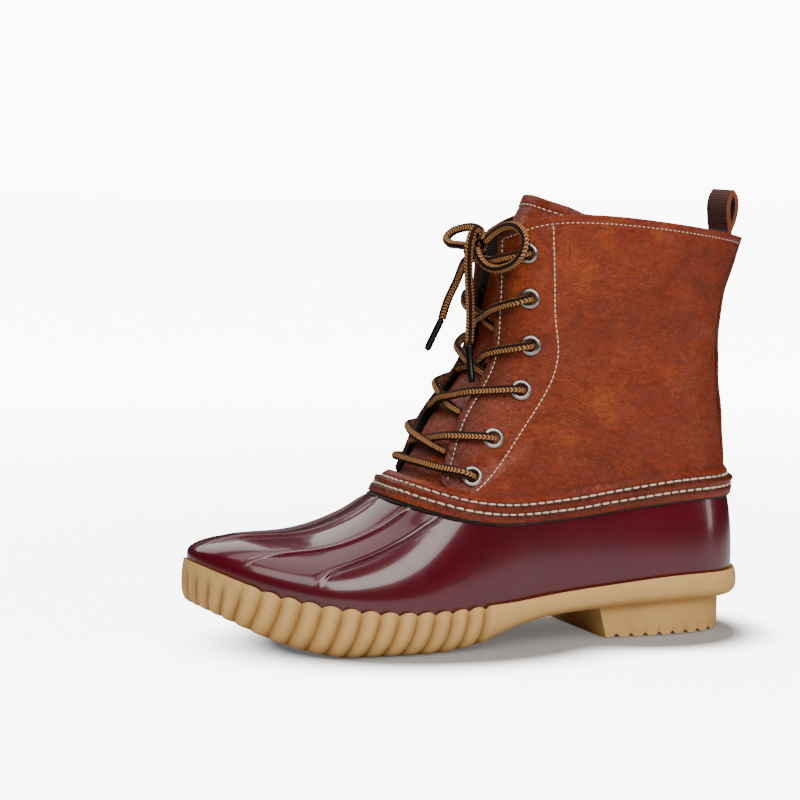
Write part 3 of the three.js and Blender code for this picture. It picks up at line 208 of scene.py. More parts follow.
@dataclass
class Last:
    """Foot form with the levels of the sole and hem, x forward from the back of the heel."""

    length: float = 263
    ball_width: float = 91
    waist_width: float = 62
    heel_width: float = 66
    instep_height: float = 95
    toe_height: float = 20
    heel_plan_radius: float = 33
    toe_plan_radius: float = 34
    heel_back_radius: float = 169
    toe_cap_radius: float = 4
    toe_turn: float = 8
    squareness: float = 2.2
    heel_height: float = 16
    band_height: float = 12.5
    rand_height: float = 20
    toe_spring: float = 18
    floor_thickness: float = 5
    rim_below_edge: float = 2
    hem_height: float = 64
    heel_rest_forward: float = 38
    shell_tuck: float = 3.5

    def __post_init__(self) -> None:
        """Works out the profiles from the sizes."""
        ball, instep, toe, turn = self.ball_width, self.instep_height, self.toe_height, self.toe_turn
        shares = [0.15, 0.38, 0.50, 0.61, 0.67, 0.75, 0.81, 0.87, 0.93]
        halves = [0.5 * self.heel_width, 0.5 * self.waist_width] + [
            share * ball for share in (0.4, 0.463, 0.49, 0.504, 0.5, 0.452, 0.362)
        ]
        shifts = [0, -0.016 * ball, -0.022 * ball, -0.02 * ball, -0.012 * ball, 0.004 * ball]
        shifts += [0.2 * turn, 0.4 * turn, 0.66 * turn]
        crests = [share * instep for share in (0.84, 1, 0.9, 0.63, 0.46)] + [
            share * toe for share in (1.5, 1.16, 0.97, 0.74)
        ]
        self.half_profile = self.rounded(shares, halves, self.heel_plan_radius, self.toe_plan_radius)
        self.crest_profile = self.rounded(shares, crests, self.heel_back_radius, self.toe_cap_radius)
        self.shift = Profile([0, *shares, 1], [0, *shifts, turn])
        heel, band, rand, spring = self.heel_height, self.band_height, self.rand_height, self.toe_spring
        levels = [
            (0, heel, heel + band), (0.16, heel, heel + band), (0.31, 0.88 * heel, heel + 0.72 * band),
            (0.47, 0.56 * heel, 1.05 * rand), (0.55, 0.14 * heel, 1.01 * rand), (0.63, 0, 0.98 * rand),
            (0.72, 0, 1.03 * rand), (0.79, 0, rand + 0.16 * spring),
            (0.86, 0.17 * spring, rand + 0.34 * spring), (0.92, 0.45 * spring, rand + 0.56 * spring),
            (1, spring, rand + spring),
        ]
        keys, bottoms, rims = zip(*levels)
        self.bottom_profile = Profile(keys, bottoms)
        self.rim = Profile(keys, rims)
        keys = (0, 0.15, 0.27, 0.38, 0.50, 0.59, 0.67, 0.75)
        hems = (1, 0.99, 0.943, 0.893, 0.886, 0.936, 1.025, 1.12)
        self.hem = Profile(keys, [share * self.hem_height for share in hems])
        self.edge_lines = {side: self.edge_line(side) for side in Side}

    def rounded(self, shares: Sequence[float], values: Sequence[float], back: float, tip: float) -> Profile:
        """Returns a column of the last divided by its stretch, so that both ends close round.

        Args:
            shares: Length shares of the rows.
            values: The column's values in those rows.
            back: Radius of the back end.
            tip: Radius of the tip.
        Returns:
            The profile that is multiplied by the stretch again.
        """
        inside = [value / self.stretch(share) for share, value in zip(shares, values)]
        ends = [math.sqrt(radius * self.length / 2) for radius in (back, tip)]
        return Profile([0, *shares, 1], [ends[0], *inside, ends[1]])

    @staticmethod
    def stretch(share: Values) -> Array:
        """Returns how far a round end has opened at a share of the length."""
        share = np.asarray(share, float)
        return 2 * np.sqrt(np.maximum(0, share * (1 - share)))

    def half_width(self, share: Values) -> Array:
        """Returns half the width at a share of the length."""
        return self.stretch(share) * self.half_profile(share)

    def crest(self, share: Values) -> Array:
        """Returns the crest's height over the edge line."""
        return self.stretch(share) * self.crest_profile(share)

    def bottom(self, share: Values) -> Array:
        """Returns the level of the sole's underside."""
        return np.maximum(0, self.bottom_profile(share))

    def edge(self, share: Values) -> Array:
        """Returns the level of the edge line that the sections stand on."""
        return self.rim(share) + self.rim_below_edge

    def floor(self, share: Values) -> Array:
        """Returns the level of the floor inside the sole."""
        return self.bottom(share) + self.floor_thickness

    def edge_line(self, side: Side) -> Route:
        """Returns one side's edge line in plan, from heel back to toe tip."""
        share = (1 - np.cos(np.pi * np.arange(49) / 48)) / 2
        across = self.shift(share) + side.value * self.half_width(share)
        return Route(np.stack([self.length * share, across], axis=1))

    def edge_point(self, side: Side, share: Values) -> tuple[Array, Array, Array]:
        """Reads the edge line.

        Args:
            side: Side of the foot.
            share: Shares of the line's length.
        Returns:
            The points in plan, the outward directions and the length shares.
        """
        share = np.asarray(share, float)
        line = self.edge_lines[side]
        point = line.at(share)
        along = line.along(share, 3e-4)
        out = np.stack([-along[..., 1], along[..., 0]], axis=-1) * side.value
        out = np.where(share[..., None] <= 0, [-1.0, 0.0], out)
        out = np.where(share[..., None] >= 1, [1.0, 0.0], out)
        return point, out, np.clip(point[..., 0] / self.length, 0, 1)

    def side_point(self, side: Side, share: Array, level: Array, offset: float) -> Array:
        """Returns points a distance outside the last's side, at levels under its edge line."""
        point, out, place = self.edge_point(side, share)
        depth = np.clip((self.edge(place) - level) / (self.edge(place) - self.floor(place)), 0, 1)
        tucked = offset - self.shell_tuck * depth * depth
        return np.column_stack([point + out * tucked[:, None], level])

    def skin_height(self, x: Array, y: Array) -> Array:
        """Returns the height of the skin over points of the plan."""
        share = np.clip(x / self.length, 0, 1)
        reach = np.minimum(1, np.abs(y - self.shift(share)) / np.maximum(self.half_width(share), 1e-6))
        return self.edge(share) + self.crest(share) * (1 - reach**self.squareness) ** (1 / self.squareness)

    def crest_crossing(self, lift: float, inside: float, outside: float) -> float:
        """Returns where the hem, lifted, meets the crest line between two length shares."""
        near, far = inside, outside
        for _ in range(40):
            middle = (near + far) / 2
            if self.edge(middle) + self.crest(middle) > self.hem(middle) + lift:
                near = middle
            else:
                far = middle
        return near

    def hem_line(self, side: Side, lift: float) -> Route:
        """Returns the line a given lift over the hem on one side, from back to front."""
        back = self.crest_crossing(lift, 0.2, 0)
        front = self.crest_crossing(lift, 0.35, 0.9)
        share = mix(back, front, (1 - np.cos(np.pi * np.arange(31) / 30)) / 2)
        level = self.hem(share) + lift
        rise = np.clip((level - self.edge(share)) / self.crest(share), 0, 1)
        reach = (1 - rise**self.squareness) ** (1 / self.squareness)
        reach[0] = reach[-1] = 0
        across = self.shift(share) + side.value * self.half_width(share) * reach
        return Route(np.column_stack([self.length * share, across, level]))

    def into_boot(self, points: Array) -> Array:
        """Returns points moved from the last's axes into the frame, in metres."""
        forward, across, up = np.moveaxis(points, -1, 0)
        return np.stack([self.heel_rest_forward - forward, across, up], axis=-1) * MM


@dataclass
class ShaftForm:
    """Skin of the leather shaft over the last, read by distances from the middle of its front."""

    last: Last
    collar_height: float = 182
    collar_crown: float = 11
    collar_length: float = 125
    collar_width: float = 74
    collar_set: float = 0.7
    ankle_width: float = 67
    band: float = 12.5
    back_squareness: float = 2.2
    front_squareness: float = 3.2
    throat_top_gap: float = 18
    throat_bottom_gap: float = 52
    eyelet_setback: float = 19
    eyelet_below_collar: float = 13.6
    eyelet_above_band: float = 7.6
    shares: int = 281
    heights: int = 221
    top_reach: float = 1.16

    def __post_init__(self) -> None:
        """Samples the skin and works out the throat."""
        rises = (0, 0.46, 0.82, 1, 0.95, 0.7, 0.2)
        crown = Profile((0, 0.25, 0.5, 0.72, 0.86, 0.94, 1), [rise * self.collar_crown for rise in rises])
        table = [
            (0.03, 0.587, 0.54, 0.507 * self.ankle_width), (0.042, 0.507, 0.695, 0.5 * self.ankle_width),
            (0.038, 0.488, 0.835, 0.473 * self.collar_width),
        ]
        rings = [
            (back * self.last.length, front * self.last.length, height * self.collar_height, half)
            for back, front, height, half in table
        ]
        back, width = self.collar_set, self.collar_width
        top = (back, back + self.collar_length, self.collar_height, width / 2)
        share = np.linspace(0, 1, self.shares)
        climb = np.linspace(0, self.top_reach, self.heights)
        self.table: dict[Side, Array] = {}
        self.lengths: dict[Side, Array] = {}
        for side in Side:
            levels = [self.last.hem_line(side, lift) for lift in (0, 0.5 * self.band, self.band)]
            levels += [self.ring(side, ring, lambda forward: 0 * forward) for ring in rings]
            levels.append(self.ring(side, top, crown))
            spines = np.stack([level.at(share) for level in levels], axis=1)
            table = np.empty((self.shares, self.heights, 3))
            lengths = np.empty(self.shares)
            for index, spine in enumerate(spines):
                route = Route(spine)
                inside = route.at(np.minimum(climb, 1))
                beyond = np.maximum(climb - 1, 0)[:, None] * route.length * route.along(1.0)
                table[index] = inside + beyond
                lengths[index] = route.length
            self.table[side], self.lengths[side] = table, lengths
        self.row_length = {side: self.measured_rows(side) for side in Side}
        keys = (0, 0.12, 0.3, 0.5, 0.75, 1)
        low, high, back = self.throat_bottom_gap, self.throat_top_gap, self.eyelet_setback
        self.gap = Profile(keys, (0.5 * low, 0.46 * low, 0.385 * low, 0.31 * low, 0.7 * high, 0.5 * high))
        self.setback = Profile(keys, [share * back for share in (0.62, 0.8, 1.13, 1, 0.93, 0.97)])
        rise = np.linspace(0, 1, 11)
        self.quarter_length = Route(self.at(Side.OUTER, self.gap(rise), self.band, rise)).length
        row = self.quarter_length - self.eyelet_below_collar - self.eyelet_above_band
        downs = np.array([0, 0.198, 0.399, 0.601, 0.826, 1])
        self.eyelet_rises = 1 - (self.eyelet_below_collar + downs * row) / self.quarter_length

    def ring(self, side: Side, ring: Quad, rise: Callable[[Array], Array]) -> Route:
        """Returns one ring of the shaft on one side, from back to front."""
        back, front, height, half = ring
        forward = (1 - np.cos(np.pi * np.arange(25) / 24)) / 2
        power = np.where(forward < 0.5, self.back_squareness, self.front_squareness)
        reach = (1 - np.abs(2 * forward - 1) ** power) ** (1 / power)
        reach[0] = reach[-1] = 0
        across, level = side.value * half * reach, height + rise(forward)
        return Route(np.column_stack([mix(back, front, forward), across, level]))

    def by_share(self, side: Side, share: Array, lift: Values, rise: Values) -> Array:
        """Returns points of the skin.

        Args:
            side: Side of the foot.
            share: Shares of the way from back to front.
            lift: Lifts over the hem, up to the band's height.
            rise: Shares of the way from the band's top to the collar.
        Returns:
            The points in the last's axes.
        """
        share, lift, rise = np.broadcast_arrays(np.clip(share, 0, 1), lift, rise)
        length = np.interp(share, np.linspace(0, 1, self.shares), self.lengths[side])
        climb = np.clip((lift + rise * (length - self.band)) / length, 0, self.top_reach - 1e-9)
        across, up = share * (self.shares - 1), climb / self.top_reach * (self.heights - 1)
        i = np.minimum(across.astype(int), self.shares - 2)
        j = np.minimum(up.astype(int), self.heights - 2)
        u, v = (across - i)[..., None], (up - j)[..., None]
        table = self.table[side]
        low = table[i, j] * (1 - u) + table[i + 1, j] * u
        return low * (1 - v) + (table[i, j + 1] * (1 - u) + table[i + 1, j + 1] * u) * v

    def measured_rows(self, side: Side) -> Profile:
        """Returns the length of one side's half line at each height."""
        rises = (0, 0.25, 0.5, 0.75, 1)
        rows = [self.by_share(side, np.linspace(0, 1, 13), self.band, rise) for rise in rises]
        return Profile(rises, [np.linalg.norm(np.diff(row, axis=0), axis=1).sum() for row in rows])

    def at(self, side: Side, distance: Values, lift: Values, rise: Values) -> Array:
        """Returns points of the skin by their distance from the middle of the front."""
        rise = np.asarray(rise, float)
        return self.by_share(side, 1 - np.asarray(distance, float) / self.row_length[side](rise), lift, rise)

    def across(self, across: Values, lift: Values, rise: Values) -> Array:
        """Returns points by a signed distance from the middle of the front towards the inner side."""
        across = np.asarray(across, float)
        outer = self.at(Side.OUTER, np.abs(across), lift, rise)
        inner = self.at(Side.INNER, np.abs(across), lift, rise)
        return np.where(across[..., None] < 0, outer, inner)

    def outward(self, across: Values, lift: Values, rise: Values, reach: float = 4) -> Array:
        """Returns the directions out of the skin at signed distances from the middle of the front."""
        across, lift, rise = np.broadcast_arrays(np.asarray(across, float), lift, rise)
        sideways = self.across(across + reach, lift, rise) - self.across(across - reach, lift, rise)
        step = reach / self.quarter_length
        low = np.maximum(rise - step, -0.05)
        upward = self.across(across, lift, rise + step) - self.across(across, lift, low)
        return unit(np.cross(sideways, upward))

    def lifted(self, across: Values, lift: Values, rise: Values, off: Values) -> Array:
        """Returns points a distance off the skin, in the last's axes."""
        normal = self.outward(across, lift, rise)
        return self.across(across, lift, rise) + normal * np.asarray(off, float)[..., None]


# Meshes


def deselect() -> None:
    """Deselects every object."""
    bpy.ops.object.select_all(action="DESELECT")


def only(piece: Piece) -> None:
    """Selects one object alone and makes it the active one."""
    deselect()
    piece.select_set(True)
    bpy.context.view_layer.objects.active = piece


def edited(piece: Piece, *steps: Callable[[], object]) -> None:
    """Runs edit-mode steps on all of one object."""
    only(piece)
    bpy.ops.object.mode_set(mode="EDIT")
    bpy.ops.mesh.select_all(action="SELECT")
    for step in steps:
        step()
    bpy.ops.object.mode_set(mode="OBJECT")


def merged(reach: float = 2e-6) -> Callable[[], object]:
    """Returns the step that merges points closer than a reach."""
    return lambda: bpy.ops.mesh.remove_doubles(threshold=reach)


def consistent() -> object:
    """Turns the selected faces outwards."""
    return bpy.ops.mesh.normals_make_consistent(inside=False)


def finished(piece: Piece, kind: str, **settings: object) -> None:
    """Adds a modifier to a piece and applies it."""
    only(piece)
    modifier = piece.modifiers.new(kind.title(), kind)
    for key, value in settings.items():
        setattr(modifier, key, value)
    bpy.ops.object.modifier_apply(modifier=modifier.name)


def smoothed(piece: Piece, angle: float = 40) -> None:
    """Shades a piece smooth up to an angle in degrees."""
    only(piece)
    bpy.ops.object.shade_smooth_by_angle(angle=math.radians(angle))


def lofted(name: str, rows: Array, around: bool = False) -> Piece:
    """Lays a primitive grid through rows of points.

    Args:
        name: The piece's name.
        rows: Rows by columns of points in metres, the rows rising and the columns running
            so that faces look out.
        around: Whether the last column is the first one again.
    Returns:
        The piece, shaded smooth.
    """
    count, width = rows.shape[:2]
    deselect()
    bpy.ops.mesh.primitive_grid_add(
        x_subdivisions=width - 1, y_subdivisions=count - 1, size=2, calc_uvs=True
    )
    piece = bpy.context.object
    piece.name = piece.data.name = name
    mesh = piece.data
    start = np.empty(len(mesh.vertices) * 3)
    mesh.vertices.foreach_get("co", start)
    start = start.reshape(-1, 3)
    column = np.rint((start[:, 0] + 1) / 2 * (width - 1)).astype(int)
    row = np.rint((start[:, 1] + 1) / 2 * (count - 1)).astype(int)
    mesh.vertices.foreach_set("co", rows[row, column].ravel())
    mesh.update()
    if around:
        edited(piece, merged())
    mesh.shade_smooth()
    return piece


def without_cells(piece: Piece, gone: Array) -> None:
    """Deletes cells of a lofted grid.

    Args:
        piece: A piece straight from lofted.
        gone: Which cells go, rows by columns.
    """
    only(piece)
    bpy.ops.object.mode_set(mode="EDIT")
    bpy.ops.mesh.select_mode(type="FACE")
    bpy.ops.mesh.select_all(action="DESELECT")
    bpy.ops.object.mode_set(mode="OBJECT")
    assert len(piece.data.polygons) == gone.size
    piece.data.polygons.foreach_set("select", gone.ravel())
    bpy.ops.object.mode_set(mode="EDIT")
    bpy.ops.mesh.delete(type="FACE")
    bpy.ops.object.mode_set(mode="OBJECT")


def walled(piece: Piece, thickness: float, bevel: float = 0.5, inside: int = 0, rim: int = 0) -> None:
    """Gives a surface its wall inwards, with rounded rims.

    Args:
        piece: The surface.
        thickness: The wall in millimetres.
        bevel: How far its rims are rounded, in millimetres.
        inside: How many material slots further the inner faces take.
        rim: How many material slots further the rim takes.
    """
    finished(
        piece, "SOLIDIFY", thickness=thickness * MM, offset=-1, use_rim=True,
        material_offset=inside, material_offset_rim=rim,
    )
    if bevel:
        finished(
            piece, "BEVEL", width=bevel * MM, segments=2, limit_method="ANGLE",
            angle_limit=math.radians(55), harden_normals=False,
        )
    smoothed(piece, 50)


def from_parts(name: str, points: Array, faces: Array) -> Piece:
    """Returns a piece from points in metres and faces of four points."""
    mesh = bpy.data.meshes.new(name)
    mesh.vertices.add(len(points))
    mesh.vertices.foreach_set("co", points.ravel())
    mesh.loops.add(faces.size)
    mesh.loops.foreach_set("vertex_index", faces.ravel())
    mesh.polygons.add(len(faces))
    mesh.polygons.foreach_set("loop_start", np.arange(len(faces)) * 4)
    mesh.update(calc_edges=True)
    piece = bpy.data.objects.new(name, mesh)
    bpy.context.scene.collection.objects.link(piece)
    mesh.shade_smooth()
    return piece


def marked(piece: Piece, name: str, values: Array) -> None:
    """Stores a value for each point of a piece as an attribute."""
    layer = piece.data.attributes.new(name, "FLOAT", "POINT")
    layer.data.foreach_set("value", np.ravel(values).astype(np.float32))


def joined(name: str, pieces: Sequence[Piece]) -> Piece:
    """Joins pieces into one and names it."""
    deselect()
    for piece in pieces:
        piece.select_set(True)
    bpy.context.view_layer.objects.active = pieces[0]
    if len(pieces) > 1:
        bpy.ops.object.join()
    whole = bpy.context.view_layer.objects.active
    whole.name = whole.data.name = name
    return whole


def turned_along(points: Array) -> tuple[Array, Array]:
    """Returns side directions carried along a line without twist."""
    along = unit(np.gradient(points, axis=0))
    first = np.cross(along[0], [0.3, 0.2, 0.93])
    side = np.empty_like(points)
    side[0] = first / np.linalg.norm(first)
    for index in range(1, len(points)):
        carried = side[index - 1] - along[index] * np.dot(side[index - 1], along[index])
        side[index] = carried / np.linalg.norm(carried)
    return side, np.cross(along, side)


def tube(name: str, route: Route, radius: float | Array, sides: int = 20, spacing: float = 0.8) -> Piece:
    """Makes a closed round tube along a route, with its length and turn as its UV map.

    Args:
        name: The piece's name.
        route: The line through its middle, in millimetres.
        radius: Its radius in millimetres, or the radii at even shares of its length.
        sides: How many faces it has around.
        spacing: How far apart its rings lie, in millimetres.
    Returns:
        The piece, with u in metres along it and v as the share of a turn.
    """
    points = route.places(spacing)
    side, other = turned_along(points)
    share = np.linspace(0, 1, len(points))
    radii = np.interp(share, np.linspace(0, 1, np.size(radius)), np.atleast_1d(radius))
    angle = np.linspace(0, 2 * np.pi, sides + 1)
    ring = np.cos(angle)[None, :, None] * side[:, None] + np.sin(angle)[None, :, None] * other[:, None]
    rows = points[:, None] + ring * radii[:, None, None]
    caps = [np.repeat(points[end][None, None], sides + 1, axis=1) for end in (0, -1)]
    grid = np.concatenate([caps[0], rows, caps[1]]) * MM
    piece = lofted(name, grid)
    layer = piece.data.uv_layers.active
    uv = np.empty(len(layer.data) * 2)
    layer.data.foreach_get("uv", uv)
    uv = uv.reshape(-1, 2)
    lengths = np.concatenate([[0], share, [1]]) * route.length * MM
    uv[:, 1] = np.interp(uv[:, 1], np.linspace(0, 1, len(lengths)), lengths)
    layer.data.foreach_set("uv", uv[:, ::-1].ravel())
    edited(piece, merged(), consistent)
    return piece


@dataclass(frozen=True)
class Thread:
    """Sewing thread, with the pitch and size of its stitches in millimetres."""

    pitch: float = 3.1
    share: float = 0.74
    radius: float = 0.33
    rise: float = 0.22
    lead: float = 0.12
    sunk: float = 0.35
    sides: int = 6

    def stitches(self, points: Array, normals: Array) -> tuple[Array, Array]:
        """Lays stitches along a line.

        Args:
            points: Points of the line on the surface, in the frame and in millimetres.
            normals: Directions out of the surface at those points.
        Returns:
            The stitches' points and faces.
        """
        reach = np.concatenate([[0], np.cumsum(np.linalg.norm(np.diff(points, axis=0), axis=1))])
        count = max(1, int(round(reach[-1] / self.pitch)))
        pitch = reach[-1] / count
        starts = (np.arange(count) + self.lead) * pitch
        along = np.array([0.0, 0.04, 0.2, 0.5, 0.8, 0.96, 1.0])
        thick = np.array([0.35, 0.8, 1, 1, 1, 0.8, 0.35])
        lift = self.rise * (1 - (2 * along - 1) ** 2) - self.sunk * self.radius
        lift[[0, -1]] -= 0.5 * self.radius
        place = starts[:, None] + along[None] * pitch * self.share
        middle = np.stack([np.interp(place, reach, column) for column in points.T], axis=-1)
        out = unit(np.stack([np.interp(place, reach, column) for column in normals.T], axis=-1))
        ahead = unit(np.gradient(middle, axis=1))
        aside = unit(np.cross(out, ahead))
        rings, sides = len(along), self.sides
        angle = np.linspace(0, 2 * np.pi, sides, endpoint=False)
        ring = np.cos(angle)[:, None] * aside[:, :, None] + np.sin(angle)[:, None] * out[:, :, None]
        raised = (middle + out * lift[None, :, None])[:, :, None]
        spots = raised + ring * (self.radius * thick)[None, :, None, None]
        base = (np.arange(rings - 1)[:, None] * sides + np.arange(sides)[None]).ravel()
        turn = (np.arange(rings - 1)[:, None] * sides + (np.arange(sides) + 1)[None] % sides).ravel()
        faces = np.column_stack([base, turn, turn + sides, base + sides])
        ends = np.array([[3, 2, 1, 0], [5, 4, 3, 0]])
        last = (rings - 1) * sides + np.array([[0, 1, 2, 3], [0, 3, 4, 5]])
        faces = np.vstack([faces, ends, last])
        offsets = np.arange(count)[:, None, None] * rings * sides
        return spots.reshape(-1, 3), (faces[None] + offsets).reshape(-1, 4)


class Seams:
    """Collects stitched lines and makes one piece of them."""

    def __init__(self, last: Last) -> None:
        """Starts with no line, on the last that the seams' points refer to."""
        self.last = last
        self.points: list[Array] = []
        self.faces: list[Array] = []

    def sew(self, thread: Thread, points: Array, normals: Array) -> None:
        """Adds a line of stitches.

        Args:
            thread: The thread.
            points: Points of the line on the surface, in the last's axes.
            normals: Directions out of the surface at those points.
        """
        spots, faces = thread.stitches(self.last.into_boot(points) / MM, normals * MIRRORED)
        self.faces.append(faces + sum(len(known) for known in self.points))
        self.points.append(spots)

    def made(self, name: str) -> Piece:
        """Returns all the lines as one piece."""
        return from_parts(name, np.vstack(self.points) * MM, np.vstack(self.faces))


FINE_THREAD = Thread(2.3, 0.76, 0.26, 0.2)
TONGUE_THREAD = Thread(3.0, 0.72, 0.3, 0.2)


# Materials

def paint(code: int) -> Quad:
    """Returns a colour code as linear light."""
    parts = [(code >> shift & 255) / 255 for shift in (16, 8, 0)]
    return (*[part / 12.92 if part <= 0.04045 else ((part + 0.055) / 1.055) ** 2.4 for part in parts], 1.0)


class Tree:
    """Adds nodes to one material or node group."""

    def __init__(self, tree: bpy.types.NodeTree) -> None:
        """Keeps the tree."""
        self.tree = tree

    def add(self, kind: str, inputs: dict | None = None, **settings: object) -> ShaderNode:
        """Adds a node.

        Args:
            kind: The node's type.
            inputs: Values or sockets for its inputs, by name or number.
            settings: The node's own settings.
        Returns:
            The node.
        """
        node = self.tree.nodes.new(kind)
        for key, value in settings.items():
            setattr(node, key, value)
        for key, value in (inputs or {}).items():
            self.feed(value, node.inputs[key])
        return node

    def feed(self, value: object, socket: ShaderSocket) -> None:
        """Links an output to an input, or sets the input's value."""
        if isinstance(value, bpy.types.NodeSocket):
            self.tree.links.new(value, socket)
        else:
            socket.default_value = value

    def math(self, operation: str, first: object, second: object = 0.0, third: object = 0.0) -> ShaderSocket:
        """Adds a math node and returns its value."""
        node = self.add("ShaderNodeMath", {0: first, 1: second, 2: third}, operation=operation)
        return node.outputs[0]

    def ramp(self, factor: ShaderSocket, low: float, high: float) -> ShaderSocket:
        """Returns a value stretched from low..high to 0..1, smoothly."""
        inputs = {"Value": factor, "From Min": low, "From Max": high}
        return self.add("ShaderNodeMapRange", inputs, interpolation_type="SMOOTHSTEP").outputs["Result"]

    def blend(self, factor: object, first: object, second: object, way: str = "MIX") -> ShaderSocket:
        """Returns two colours mixed."""
        node = self.add("ShaderNodeMix", data_type="RGBA", blend_type=way, clamp_factor=True)
        for index, value in ((0, factor), (6, first), (7, second)):
            self.feed(value, node.inputs[index])
        return node.outputs[2]

    def length(self, vector: ShaderSocket) -> ShaderSocket:
        """Returns a vector's length."""
        return self.add("ShaderNodeVectorMath", {0: vector}, operation="LENGTH").outputs["Value"]

    def place(self) -> ShaderSocket:
        """Returns the piece's own coordinates."""
        return self.add("ShaderNodeTexCoord").outputs["Object"]

    def noise(
        self, vector: ShaderSocket, scale: object, detail: float = 3, rough: float = 0.55, warp: float = 0
    ) -> ShaderSocket:
        """Returns a noise value."""
        inputs = {"Vector": vector, "Scale": scale, "Detail": detail, "Roughness": rough, "Distortion": warp}
        return self.add("ShaderNodeTexNoise", inputs).outputs[0]


def group(
    name: str, inputs: dict[str, object], outputs: dict[str, str]
) -> tuple[bpy.types.NodeTree, Tree, dict, ShaderNode]:
    """Starts a shader node group.

    Args:
        name: The group's name.
        inputs: The default of each input, a number, a vector or a colour.
        outputs: The socket type of each output.
    Returns:
        The group, its tree, its inputs' sockets and its output node.
    """
    tree = bpy.data.node_groups.new(name, "ShaderNodeTree")
    for key, value in inputs.items():
        kind = "NodeSocketFloat"
        if isinstance(value, tuple):
            kind = "NodeSocketColor" if len(value) == 4 else "NodeSocketVector"
        socket = tree.interface.new_socket(key, in_out="INPUT", socket_type=kind)
        socket.default_value = value
    for key, kind in outputs.items():
        tree.interface.new_socket(key, in_out="OUTPUT", socket_type=kind)
    start = tree.nodes.new("NodeGroupInput")
    end = tree.nodes.new("NodeGroupOutput")
    return tree, Tree(tree), {key: start.outputs[key] for key in inputs}, end


def clouded_tone() -> bpy.types.NodeTree:
    """Returns the group that clouds a base colour with lighter and darker patches."""
    tree, nodes, given, end = group(
        "clouded_tone",
        {
            "Vector": (0.0, 0.0, 0.0), "Base": paint(0x888888), "Light": paint(0xAAAAAA),
            "Dark": paint(0x555555), "Scale": 16.0,
        },
        {"Color": "NodeSocketColor", "Cloud": "NodeSocketFloat"},
    )
    wide = nodes.noise(given["Vector"], given["Scale"], 4, 0.6, 0.9)
    fine = nodes.noise(given["Vector"], nodes.math("MULTIPLY", given["Scale"], 5.5), 5, 0.62, 0.5)
    mixed = nodes.math("ADD", nodes.math("MULTIPLY", wide, 0.68), nodes.math("MULTIPLY", fine, 0.32))
    lit = nodes.blend(nodes.ramp(mixed, 0.49, 0.72), given["Base"], given["Light"])
    full = nodes.blend(nodes.math("MULTIPLY", nodes.ramp(mixed, 0.49, 0.33), 0.8), lit, given["Dark"])
    nodes.feed(full, end.inputs["Color"])
    nodes.feed(mixed, end.inputs["Cloud"])
    return tree


def hide_grain() -> bpy.types.NodeTree:
    """Returns the group with the height of a full-grain hide: pebble, pores and fine wrinkles."""
    inputs = {"Vector": (0.0, 0.0, 0.0), "Scale": 700.0, "Wrinkles": 0.6}
    tree, nodes, given, end = group("hide_grain", inputs, {"Height": "NodeSocketFloat"})
    slow = nodes.add("ShaderNodeTexNoise", {"Vector": given["Vector"], "Scale": 90.0, "Detail": 2.0})
    pull = nodes.add("ShaderNodeVectorMath", {0: slow.outputs[1], 3: 0.012}, operation="SCALE")
    sum_of = nodes.add("ShaderNodeVectorMath", {0: given["Vector"], 1: pull.outputs[0]}, operation="ADD")
    bent = sum_of.outputs[0]
    cells = nodes.add(
        "ShaderNodeTexVoronoi", {"Vector": bent, "Scale": given["Scale"]}, feature="DISTANCE_TO_EDGE"
    )
    pebble = nodes.ramp(cells.outputs["Distance"], 0.0, 0.28)
    squeezed = nodes.add(
        "ShaderNodeMapping", {"Vector": bent, "Scale": (1.0, 1.0, 3.1), "Rotation": (0.2, 0.5, 0.3)}
    )
    wrinkle = nodes.noise(squeezed.outputs[0], 95.0, 4, 0.62, 1.4)
    crease = nodes.math("ABSOLUTE", nodes.math("SUBTRACT", wrinkle, 0.5))
    lines = nodes.ramp(crease, 0.0, 0.05)
    wrinkled = nodes.math("MULTIPLY", lines, given["Wrinkles"])
    height = nodes.math("ADD", nodes.math("MULTIPLY", pebble, 0.45), wrinkled)
    nodes.feed(height, end.inputs["Height"])
    return tree


class Shared:
    """Effects that several finishes use, each built once."""

    made: dict[str, bpy.types.NodeTree] = {}
    builders: dict[str, Callable[[], bpy.types.NodeTree]] = {
        "clouded_tone": clouded_tone, "hide_grain": hide_grain,
    }

    @classmethod
    def use(cls, nodes: Tree, name: str, inputs: dict) -> ShaderNode:
        """Places a shared effect in a material."""
        if name not in cls.made:
            cls.made[name] = cls.builders[name]()
        node = nodes.tree.nodes.new("ShaderNodeGroup")
        node.node_tree = cls.made[name]
        for key, value in inputs.items():
            nodes.feed(value, node.inputs[key])
        return node


